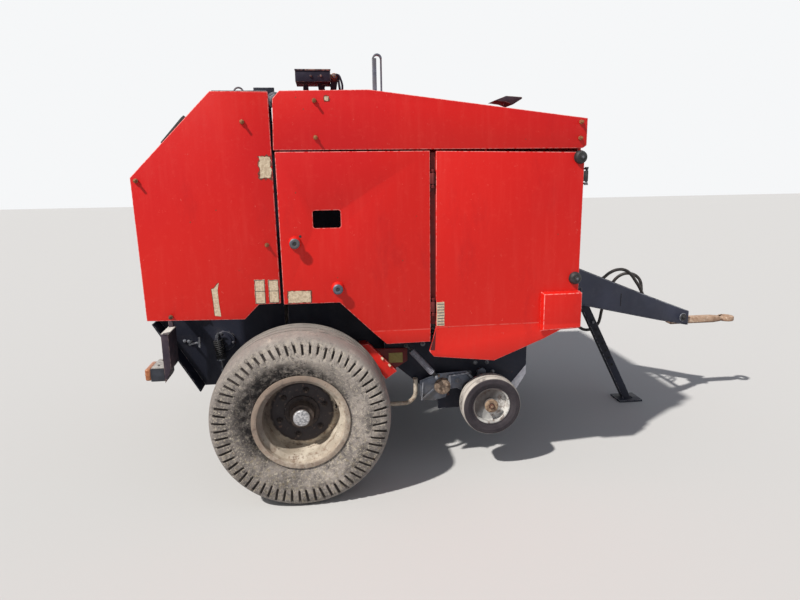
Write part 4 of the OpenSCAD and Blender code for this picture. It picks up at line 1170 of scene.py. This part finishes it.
# Jack
JACK_X, JACK_Z = 1.777, 0.700
JACK_FOOT_X = 2.131
shape = rounded("jack_bar", 0.003)
for half in shape.halves():
    half.weld([(1.747, 0.030, 0.743), (1.807, 0.030, 0.743)])
shape.done(DARK)
shape = rounded("jack_leg", 0.003)
top = at(JACK_X, 0, JACK_Z)
along = (at(JACK_FOOT_X, 0, 0) - top).normalized()
for half in shape.halves():
    out = Vector((0, half.side, 0))
    place = top + along * 0.16
    shape.add(rod(place + out * 0.020, place + out * 0.040, 0.009, 16), 2, width=0.001)
    half.bolt(JACK_X, 0.044, JACK_Z, 0.034, 2, 2, 0.014)
# Painted shade: near black rods across the leg stand for its pin holes
for k in range(6):
    place = top + along * (0.22 + 0.055 * k)
    shape.add(rod(place - out * 0.0262, place + out * 0.0262, 0.008, 16), 3)
corners = ((2.105, -0.030), (2.105, 0.030), (2.160, 0.030), (2.160, -0.030), (2.105, -0.030))
shape.weld([at(x, y, 0.015) for x, y in corners])
shape.done(DARK + [GREY_NUT, VOID_SHADE])

# Hydraulic ports and plugs
PORT_Y, PORT_Z = (-0.080, 0.100), 0.850
PLUG_X, PLUG_Y = 2.190, (-0.042, 0.002)
shape = rounded("hose_fittings", 0.0008)
for y in PORT_Y:
    for x, radius in ((1.480, 0.019), (1.500, 0.0165)):
        shape.add(rod(at(x, y, PORT_Z), at(x + 0.012, y, PORT_Z), radius, 6), 1, width=0.001)
for y in PLUG_Y:
    shape.add(rod(at(PLUG_X, y, 0.610), at(PLUG_X, y, 0.622), 0.0185, 6), 1, width=0.001)
shape.done([ZINC[0], STEEL], "galvanised")

# Side drive: toothed wheels and roller chains, in two planes on the left
DRIVE_Y = 0.700
FEED_Y = DRIVE_Y - 0.040
PITCH = 0.019
WHEEL_T = 0.008


def toothed_wheel(shape, x, z, radius, y0, bore=0.0):
    low, high = radius - 0.004, radius + 0.003
    outline = toothed(round(2 * math.pi * radius / PITCH), (
        (0.0, low), (0.30, low), (0.45, high), (0.60, high), (0.75, low)))
    y1 = y0 + WHEEL_T
    disc = prism([(x + dx, z + dz) for dx, dz in outline], y0, y1)
    if bore:
        disc = cut(disc, rod(at(x, y0 - 0.01, z), at(x, y1 + 0.01, z), bore, 40))
    shape.add(disc, 0)
    if radius > 0.05:
        for dx, dz in circle(radius * 0.62, 5):
            shape.half(1).pin(x + dx, z + dz, y0 - 0.0006, y1 + 0.0006, radius * 0.14, 18, 1)


def chain_path(circles):
    """The loop of (x, z) points of a chain round circles (x, z, radius), in order."""
    points = sorted((x + dx, z + dz) for x, z, radius in circles for dx, dz in circle(radius, 72))

    def half(order):
        line = []
        for p in order:
            while len(line) > 1 and ((line[-1][0] - line[-2][0]) * (p[1] - line[-2][1])
                                     - (line[-1][1] - line[-2][1]) * (p[0] - line[-2][0])) <= 0:
                line.pop()
            line.append(p)
        return line[:-1]
    return half(points) + half(points[::-1])


def chain(shape, circles, y):
    """Links at a steady pitch round the loop: rollers between two pairs of plates."""
    loop = chain_path([(x, z, radius + 0.006) for x, z, radius in circles])
    lengths = [math.dist(a, b) for a, b in zip(loop, loop[1:] + loop[:1])]
    count = int(sum(lengths) / PITCH) // 2 * 2
    spacing = sum(lengths) / count
    pins, walked, k = [], 0.0, 0
    for n in range(count):
        while walked + lengths[k] < n * spacing:
            walked += lengths[k]
            k += 1
        a, b = loop[k], loop[(k + 1) % len(loop)]
        t = (n * spacing - walked) / lengths[k]
        pins.append(at(a[0] + (b[0] - a[0]) * t, y, a[1] + (b[1] - a[1]) * t))
    out = Vector((0, 1, 0))
    for n, pin in enumerate(pins):
        follow = pins[(n + 1) % count]
        shape.add(rod(pin - out * 0.0042, pin + out * 0.0042, 0.0048, 8), 1)
        ahead = (follow - pin).normalized()
        across = out.cross(ahead) * 0.0055
        low, high = pin - ahead * 0.004, follow + ahead * 0.004
        gap = 0.0022 if n % 2 else 0.0038
        for side in (-1, 1):
            shape.add(loft([[q + out * side * d for q in (low + across, high + across, high - across, low - across)]
                            for d in (gap, gap + 0.0012)]), 0)


shape = Shape("chain_drive")
half = shape.half(1)
main_run = [(DRIVE_X, DRIVE_Z, 0.060), (*on_ring(8), 0.105)]
feed_run = [(*on_ring(angle), 0.044) for angle in ROLLERS["rollers_front"]]
toothed_wheel(shape, *main_run[0], DRIVE_Y, 0.0283)
toothed_wheel(shape, *main_run[1], DRIVE_Y)
for x, z, radius in feed_run:
    toothed_wheel(shape, x, z, radius, FEED_Y)
    half.pin(x, z, BEARING_Y, FEED_Y + 0.001, 0.020, 24, 1)
    half.bolt(x, FEED_Y + WHEEL_T, z, 0.024, 2, 2, 0.014)
x, z, radius = main_run[1]
half.pin(x, z, DRIVE_Y - 0.033, DRIVE_Y + 0.001, 0.020, 24, 1)
half.bolt(x, DRIVE_Y + WHEEL_T, z, 0.030, 2, 2, 0.018)
chain(shape, main_run, DRIVE_Y + WHEEL_T / 2)
chain(shape, feed_run, FEED_Y + WHEEL_T / 2)
shape.done([RUST, STEEL, GREY_NUT], "rusty_steel", "_links")

# Pick-up: plates, reel with coiled double tines, bands, guard
REEL_X, REEL_Z = 0.930, 0.490
REEL_HALF = 0.630
PLATE_Y = 0.698
BAR_R = 0.110
BARS = 5
TINES = 18
TINE_GAP = (2 * REEL_HALF - 0.060) / (TINES - 1)
# How a tine runs on from its coil, as (away from the reel's middle, ahead)
TINE = ((0.135, 0.001), (0.170, 0.0016), (0.205, 0.0012), (0.228, 0.0), (0.240, -0.002))


def tine_y(k):
    return -REEL_HALF + 0.030 + k * TINE_GAP


shape = rounded("pickup_plates", 0.002)
for half in shape.halves():
    half.bolts(PLATE_Y, [(REEL_X + dx, REEL_Z + dz) for dx, dz in circle(0.062, 6)], 0.016, 2, 2, 0.010, 2)
    half.bolts(PLATE_Y, ((0.45, 0.62), (0.50, 0.68), (0.62, 0.66), (0.84, 0.68), (1.08, 0.40), (0.98, 0.33)),
               0.018, 2, 2, 0.010, 2)
    # Painted light: a thin pale plate over the corner of the pick-up plate that lies in sun
    half.plate([(1.086, 0.412), (1.080, 0.340), (1.121, 0.381), (1.174, 0.467), (1.175, 0.520)],
               PLATE_Y, PLATE_Y + 0.002, 3, 3, 0.0006)
shape.done(DARK + [GREY_NUT, SUNLIT_GREY])

shape = Shape("pickup_reel")
for k in range(BARS):
    turn = Matrix.Translation(at(REEL_X, 0, REEL_Z)) @ Matrix.Rotation(2 * math.pi * k / BARS, 4, "Y")
    shape.add(rod((BAR_R, -REEL_HALF, 0), (BAR_R, REEL_HALF, 0), 0.014, 20), 0, turned=turn)
    for y in map(tine_y, range(TINES)):
        wire = [(BAR_R + 0.019 * math.cos(a), y - 0.012 + 0.0009 * n, 0.019 * math.sin(a))
                for n, a in enumerate([math.pi / 4 * m for m in range(-14, 1)])]
        shape.add(sweep(wire + [(x, y, z) for x, z in TINE], 0.0034, 6), 1, turned=turn)
for half in shape.halves():
    half.lathe((REEL_X, REEL_HALF, REEL_Z), collar(0.005, 0.024, 0.130), 64, 0, closed=True, width=0.001)
shape.add(rod(at(REEL_X, -0.710, REEL_Z), at(REEL_X, 0.710, REEL_Z), 0.025, 32), 0, width=0.002)
shape.done([ZINC[0], STEEL], "galvanised", "_tines")

shape = rounded("pickup_bands", 0.0006)
for y in [tine_y(k + 0.5) for k in range(TINES - 1)]:
    shape.bolt(at(0.655, y, 0.658), (0, 0, 1), 0.013, 2)
    shape.bolt(at(0.726, y, 0.322), (0, 0, -1), 0.013, 2)
shape.done(ZINC + [GREY_NUT], "galvanised")

shape = rounded("crop_guard", 0.001)
for half in shape.halves():
    for y in (0.680, 0.30):
        half.lathe((1.150, y, 0.680), collar(0.010, 0.016, 0.025), 28, 0, 1, 0.0015, closed=True)
shape.done(DARK)
rounded("pickup_frame").done(DARK)

# Arms of the gauge wheels with their rusty pivots, coil springs, cream pipes
ARM_Y = 0.752
ARM_END = ARM_Y + 0.024
PIVOT_X, PIVOT_Z = 0.712, 0.447
# Folded plates of an arm: outline, from and to (how far out from the arm), material, edge width
ARM_PLATES = (
    (((0.600, 0.374), (0.668, 0.372), (0.728, 0.384), (0.740, 0.420), (0.690, 0.500), (0.608, 0.480)),
     -0.002, 0.004, 0, 0.001),
    (((0.604, 0.388), (0.611, 0.383), (0.668, 0.432), (0.663, 0.439)), 0, 0.016, 0, 0.001),
    (((0.600, 0.376), (0.606, 0.376), (0.612, 0.474), (0.606, 0.476)), 0, 0.012, 1, 0.001),
    (((0.742, 0.505), (0.842, 0.516), (0.938, 0.408), (0.931, 0.402), (0.840, 0.507), (0.744, 0.497)),
     0, 0.014, 1, 0.0012),
    (((0.740, 0.444), (0.756, 0.437), (0.756, 0.500), (0.740, 0.498)), 0, 0.010, 1, 0.001))
shape = rounded("gauge_arms", 0.0012)
for half in shape.halves():
    half.lathe((PIVOT_X, ARM_Y, PIVOT_Z), [
        (0, 0.0375), (0, 0.044), (0.008, 0.043), (0.012, 0.039), (0.025, 0.038), (0.028, 0.031), (0.028, 0)], 30, 2)
    half.bolts(ARM_END + 0.003, [(PIVOT_X + dx, PIVOT_Z + dz) for dx, dz in circle(0.024, 3, 40)],
               0.018, 2, 2, 0.013)
    half.bolt(0.690, ARM_Y, 0.503, 0.018, 2, 2, 0.014)
    for outline, low, high, material, width in ARM_PLATES:
        half.plate(outline, ARM_Y + low, ARM_Y + high, material, 3, width)
    half.bolt(0.790, ARM_Y, 0.470, 0.018, 4, 4, 0.012, 4)
    half.pin(0.850, 0.428, ARM_Y - 0.001, ARM_Y + 0.0008, 0.034, 36, 5)
shape.done(ZINC + [PIVOT_CLAY, ZINC[1], GREY_NUT, BOSS], "galvanised")

SPRING_Y = 0.797
shape = Shape("pickup_springs")
for half in shape.halves():
    top, low = half.at(0.546, SPRING_Y, 0.657), half.at(0.652, SPRING_Y, 0.536)
    along = (low - top).normalized()
    shape.add(coil(top, low, 0.0132, 0.0038, 22), 4)
    for place in (top, low - along * 0.006):
        shape.add(rod(place, place + along * 0.006, 0.0155, 28), 1, width=0.001)
    # Painted shade: a near black rod fills the inside of the coil
    shape.add(rod(top, low, 0.0085, 16), 2)
    hook = [top, top - along * 0.020, half.at(0.524, SPRING_Y, 0.680), half.at(0.519, SPRING_Y, 0.6855)]
    shape.add(sweep(hook, 0.0048, 10), 3)
    half.lathe((0.519, SPRING_Y, 0.685), collar(0.006, 0.0035, 0.0105), 20, 3, closed=True, width=0.0008)
    for aside in (-0.0072, 0.0072):
        across = Vector((0, 1, 0)).cross(along) * aside
        shape.add(rod(low + across, half.at(0.671, SPRING_Y, 0.514) + across * 0.6, 0.0035, 10), 3)
    half.box((0.664, ARM_Y, 0.504), (0.680, ARM_Y + 0.050, 0.520), 1, 1, 0.001)
    half.bolt(0.672, ARM_Y + 0.050, 0.512, 0.018, 1)
shape.done([ZINC[0], ZINC[1], VOID_SHADE, BOSS, SPRING_GREY], "galvanised", "_coils")

rounded("side_pipes", 0.001).done([cream_rim("pipe_paint")] * 2, "rim_paint")

# Red braces with two pale lugs as painted highlights on their upper edge, and a plate in dark red painted shade
# with a blank olive label
BRACE_OUT = 0.752
PLATE_OUT = 0.713
shape = rounded("lower_braces", 0.003)
# Painted shade: the plate's outer faces are dark red
shape.tint(4, lambda spot: abs(abs(spot.y) - PLATE_OUT) < 0.002)
for half in shape.halves():
    # Painted highlight: two small pale lugs on the braces' upper edge
    for x, z in ((0.398, 0.615), (0.434, 0.577)):
        half.rod((x, BRACE_OUT - 0.006, z), (x + 0.010, BRACE_OUT + 0.003, z - 0.011), 0.006, 10, 2)
    label(half, 0.440, 0.572, 0.512, 0.624, 3, PLATE_OUT)
shape.done(RED + [PALE, LIME, PAINTED_SHADE], "red_paint")

# Roof with pale rods along the top of its side covers as a painted highlight, and the red shield over the drawbar
shape = rounded("roof", 0.002)
shape.tint(4, lambda spot: spot.z > 1.888)
for half in shape.halves():
    for x, z, lean in ((0.05, 1.8755, 0), (0.30, 1.8780, 0), (0.60, 1.849, 0.12), (0.90, 1.8123, 0.12),
                       (1.20, 1.7760, 0.12)):
        half.bolt(x, 0.80, z, 0.020, 2, 0, 0.0, 3, axis=(lean, 0, 1))
    # Painted highlight: thin rods in the pale edge paint along the top of the side covers
    lit_edge_line = [(0.358, 0.865, 1.8785), (0.80, 0.865, 1.8250), (1.355, 0.865, 1.7570)]
    for a, b in zip(lit_edge_line, lit_edge_line[1:]):
        half.rod(a, b, 0.0030, 8, 1)
shape.done(RED + [RUST, ZINC[0], ROOF_STEEL], "red_paint")

shape = rounded("front_shield", 0.002)
for y in (-0.55, -0.18, 0.18, 0.55):
    shape.add(box(at(1.367, y - 0.006, 1.26), at(1.3735, y + 0.006, 1.70)), 0, 1, 0.0025)
for y in (-0.78, -0.40, 0.0, 0.40, 0.78):
    shape.bolt(at(1.368, y, 1.262), (1, 0, 0), 0.020, 2, washer=3)
shape.done(RED + [RUST, ZINC[0]], "red_paint")

# Fittings on the roof
ROOF_Y = -0.350
GUIDE_PIN = (0.4285, 1.92)
TRAY_Z = 1.984
shape = rounded("roof_box", 0.0012)
for x in (0.100, 0.150):
    for face in (-1, 1):
        shape.bolt(at(x, ROOF_Y + face * 0.090, TRAY_Z + 0.028), (0, face, 0), 0.014, 1, 1, 0.008)
shape.bolt(at(0.218, ROOF_Y - 0.012, TRAY_Z + 0.036), (0, -1, 0), 0.024, 3, 2, 0.012, 2)
lever = [at(x, ROOF_Y - 0.016, TRAY_Z + z) for x, z in (
    (0.228, 0.046), (0.243, 0.040), (0.252, 0.020), (0.259, -0.008), (0.257, -0.040), (0.252, -0.086))]
shape.add(sweep(smooth_line(lever, 3), 0.0055, 10), 0)
shape.add(box(at(0.020, ROOF_Y - 0.094, TRAY_Z + 0.053), at(0.200, ROOF_Y - 0.088, TRAY_Z + 0.060)), 1, 1, 0.001)
shape.done(BOX_PAINT + [RUST, ZINC[0]], "maroon_paint")

shape = rounded("roof_guide", 0.001)
for x in (0.418, 0.470):
    for y in (-0.022, 0.022):
        shape.bolt(at(x, ROOF_Y + y, 1.8775), (0.1, 0, 1), 0.014, 2)
shape.half(1).pin(GUIDE_PIN[0], GUIDE_PIN[1], ROOF_Y - 0.016, ROOF_Y + 0.016, 0.006, 14, 2)
shape.done(ZINC + [RUST], "galvanised")

shape = rounded("roof_catch", 0.0012)
shape.add(prism([(1.106, 1.9125), (1.186, 1.9070), (1.186, 1.9050), (1.106, 1.9105)],
                ROOF_Y - 0.118, ROOF_Y + 0.018), 2)
shape.done(MAROON + [PALE], "maroon_paint")


def straw_tuft(name, x, y, z, count, spread, height, seed):
    """Dry grass caught on the roof: thin blades leaning all ways."""
    rand = random.Random(seed)
    shape = Shape()
    for _ in range(count):
        foot = at(x + rand.uniform(-spread, spread), y + rand.uniform(-spread, spread), z)
        lean = Vector((rand.uniform(-1, 1), rand.uniform(-1, 1), rand.uniform(0.3, 1.4))).normalized()
        droop = Vector((0, 0, -rand.uniform(0.1, 0.5)))
        length = height * rand.uniform(0.5, 1.0)
        blade = [foot + lean * length * t + droop * length * t * t for t in (0, 0.35, 0.7, 1.0)]
        shape.add(sweep(blade, 0.0011, 4, lambda t: 1.1 - 0.8 * t), 0)
    shape.place(name, "root", [STRAW])


straw_tuft("straw_on_roof", 0.055, ROOF_Y - 0.020, 1.876, 70, 0.034, 0.085, 4)

# Tailgate: lifting eyes and buffers at its top, a handle and a spring on its walls
LATCH_Y = WALL_OUT + 0.040
HANDLE_Y = WALL_OUT + 0.055
shape = rounded("tail_walls", 0.0015)
bearings(shape, "tail_rollers_upper", "tail_rollers_lower")
for half in shape.halves():
    half.bolts(WALL_OUT, ((-0.14, 0.52), (-0.30, 0.52), (-0.66, 0.96), (-0.67, 1.20), (-0.66, 1.42),
                          (-0.44, 1.66), (-0.20, 1.80)), *WALL_BOLT)
    half.wire([(-0.204 - 0.020 * math.cos(a), 0.869, 1.876 + 0.021 * math.sin(a))
               for a in [math.pi * k / 10 for k in range(11)]], 0.004, 10, 1)
    half.box((-0.318, 0.860, 1.858), (-0.086, 0.876, 1.8845), 0, 1, 0.002)
    half.plate([(-0.544, 1.660), (-0.430, 1.772), (-0.441, 1.783), (-0.452, 1.774), (-0.546, 1.672)],
               0.866, 0.876, 4, 4, 0.001)
    half.pin(-0.552, 0.706, WALL_OUT, HANDLE_Y, 0.006, 14, 2)
    half.rod((-0.552, HANDLE_Y, 0.706), (-0.505, HANDLE_Y, 0.716), 0.0055, 14, 3)
    half.rod((-0.503, HANDLE_Y, 0.690), (-0.503, HANDLE_Y, 0.742), 0.006, 14, 3)
    half.bolts(WALL_OUT, ((-0.586, 0.712), (-0.566, 0.708)), 0.018, 3, 3, 0.014)
    shape.add(coil(half.at(-0.416, LATCH_Y, 0.720), half.at(-0.405, LATCH_Y, 0.622), 0.021, 0.0032, 10), 4)
    half.rod((-0.419, LATCH_Y, 0.744), (-0.400, LATCH_Y, 0.560), 0.005, 12, 2)
    half.rod((-0.404, LATCH_Y, 0.622), (-0.4036, LATCH_Y, 0.616), 0.024, 24, 3)
    for x, z in ((-0.418, 0.740), (-0.400, 0.560)):
        half.pin(x, z, WALL_OUT, WALL_OUT + 0.052, 0.008, 14, 2)
    half.plate([(-0.372, 0.478), (-0.250, 0.478), (-0.250, 0.560), (-0.290, 0.590), (-0.350, 0.590),
                (-0.388, 0.540)], WALL_OUT, WALL_OUT + 0.004, 5, 3, 0.001)
shape.done(DARK + [GREY_NUT, ZINC[1], BOSS, ZINC[0]])

shape = rounded("tail_frame", 0.002)
for half in shape.halves():
    half.bolt(-0.068, EAR_OUT, 1.869, 0.050, 2, 2, 0.030, 2)
    half.bolts(EAR_OUT, ((-0.148, 1.852), (-0.170, 1.818)), 0.024, 2, 2, 0.016)
shape.done(DARK + [GREY_NUT])

# Lamps on folded posts with a slanting lower end and a pale top
POST_Y = (0.712, 0.860)
POST_X = (-0.631, -0.598)
POST_TOP = 0.814
LAMP_Y = (0.716, 0.856)
LAMP_LOW, LAMP_HIGH = 0.584, 0.648
LENS_X = -0.722
shape = rounded("lamp_brackets", 0.0015)
# The bracket's top faces are made pale
shape.tint(4, lambda spot: spot.z > LAMP_HIGH and spot.x < AXLE_X + POST_X[0] - 0.001)
for half in shape.halves():
    half.box((POST_X[0] + 0.0005, POST_Y[0] + 0.0005, POST_TOP - 0.003),
             (POST_X[1] + 0.0012, POST_Y[1] - 0.0005, POST_TOP + 0.0008), 2)
    for y in (0.745, 0.825):
        half.bolt(-0.665, y, LAMP_HIGH + 0.005, 0.012, 4, 4, 0.006, axis=(0, 0, 1))
    half.pin(-0.616, 0.866, 0.731, 0.739, 0.011, 6, 3)
shape.done(MAROON + [PALE_FILM, RUST, LAMP_TOP_PALE], "maroon_paint")

shape = Shape("tail_lamps")
for half in shape.halves():
    near, far = LAMP_Y
    half.box((-0.690, near, LAMP_LOW), (POST_X[0], far, LAMP_HIGH), 1, 1, 0.004, 3)
    half.box((-0.695, near, LAMP_LOW + 0.001), (-0.688, far, LAMP_HIGH - 0.001), 1, 1, 0.002)
    half.box((LENS_X, near + 0.003, LAMP_LOW + 0.003), (-0.694, far - 0.003, LAMP_HIGH - 0.003), 0, 0, 0.009, 4)
    for z in (0.604, 0.626):
        half.box((LENS_X - 0.0002, near + 0.012, z), (LENS_X + 0.0015, far - 0.012, z + 0.0018), 2)
    for y in (near + 0.012, far - 0.012):
        half.bolt(LENS_X + 0.0015, y, 0.616, 0.006, 3, axis=(-1, 0, 0))
shape.done([LENS, LAMP_BODY, DEEP_LENS, GREY_NUT], "lamp", name="tail_lamp_units")

for hose in hoses:
    hose.data.materials.append(HOSE)


# Stage
FLOOR_HALF = 30.0
FLOOR_TONE = (0.58, 0.58, 0.58, 1)
SUN_TURN = (0.68, 0.48, -1.0)


def make_stage():
    """A plain matt floor."""
    h = FLOOR_HALF
    floor = bpy.data.meshes.new("floor")
    floor.from_pydata([(-h, -h, 0), (h, -h, 0), (h, h, 0), (-h, h, 0)], [], [(0, 1, 2, 3)])
    material = bpy.data.materials.new("floor_grey")
    material.use_nodes = True
    shader = material.node_tree.nodes["Principled BSDF"]
    shader.inputs["Base Color"].default_value = FLOOR_TONE
    shader.inputs["Roughness"].default_value = 0.9
    shader.inputs["Specular IOR Level"].default_value = 0.2
    floor.materials.append(material)
    new_object("floor", floor)


def make_light():
    """A low sun, and a studio that is bright where it is seen and dim where it lights."""
    world = bpy.data.worlds.new("studio")
    bpy.context.scene.world = world
    world.use_nodes = True
    tree = world.node_tree
    back = tree.nodes["Background"]
    back.inputs["Color"].default_value = (0.86, 0.90, 1.0, 1)
    back.inputs["Strength"].default_value = 0.31
    seen = tree.nodes.new("ShaderNodeBackground")
    seen.inputs["Color"].default_value = (0.92, 0.93, 0.94, 1)
    seen.inputs["Strength"].default_value = 1.0
    ray = tree.nodes.new("ShaderNodeLightPath")
    seen_share = ray.outputs["Is Camera Ray"]
    for name in ("Is Glossy Ray", "Is Transmission Ray"):
        either = tree.nodes.new("ShaderNodeMath")
        either.operation = "MAXIMUM"
        tree.links.new(seen_share, either.inputs[0])
        tree.links.new(ray.outputs[name], either.inputs[1])
        seen_share = either.outputs[0]
    switch = tree.nodes.new("ShaderNodeMixShader")
    for socket, source in enumerate((seen_share, back.outputs[0], seen.outputs[0])):
        tree.links.new(source, switch.inputs[socket])
    tree.links.new(switch.outputs[0], tree.nodes["World Output"].inputs["Surface"])
    sun = bpy.data.lights.new("sun", "SUN")
    sun.energy = 4.1
    sun.color = (1.0, 0.96, 0.90)
    sun.angle = math.radians(1.8)
    lamp = new_object("sun", sun)
    lamp.rotation_mode = "QUATERNION"
    lamp.rotation_quaternion = Vector(SUN_TURN).to_track_quat("-Z", "Y")


make_stage()
make_light()
bpy.context.scene.view_settings.view_transform = "Standard"
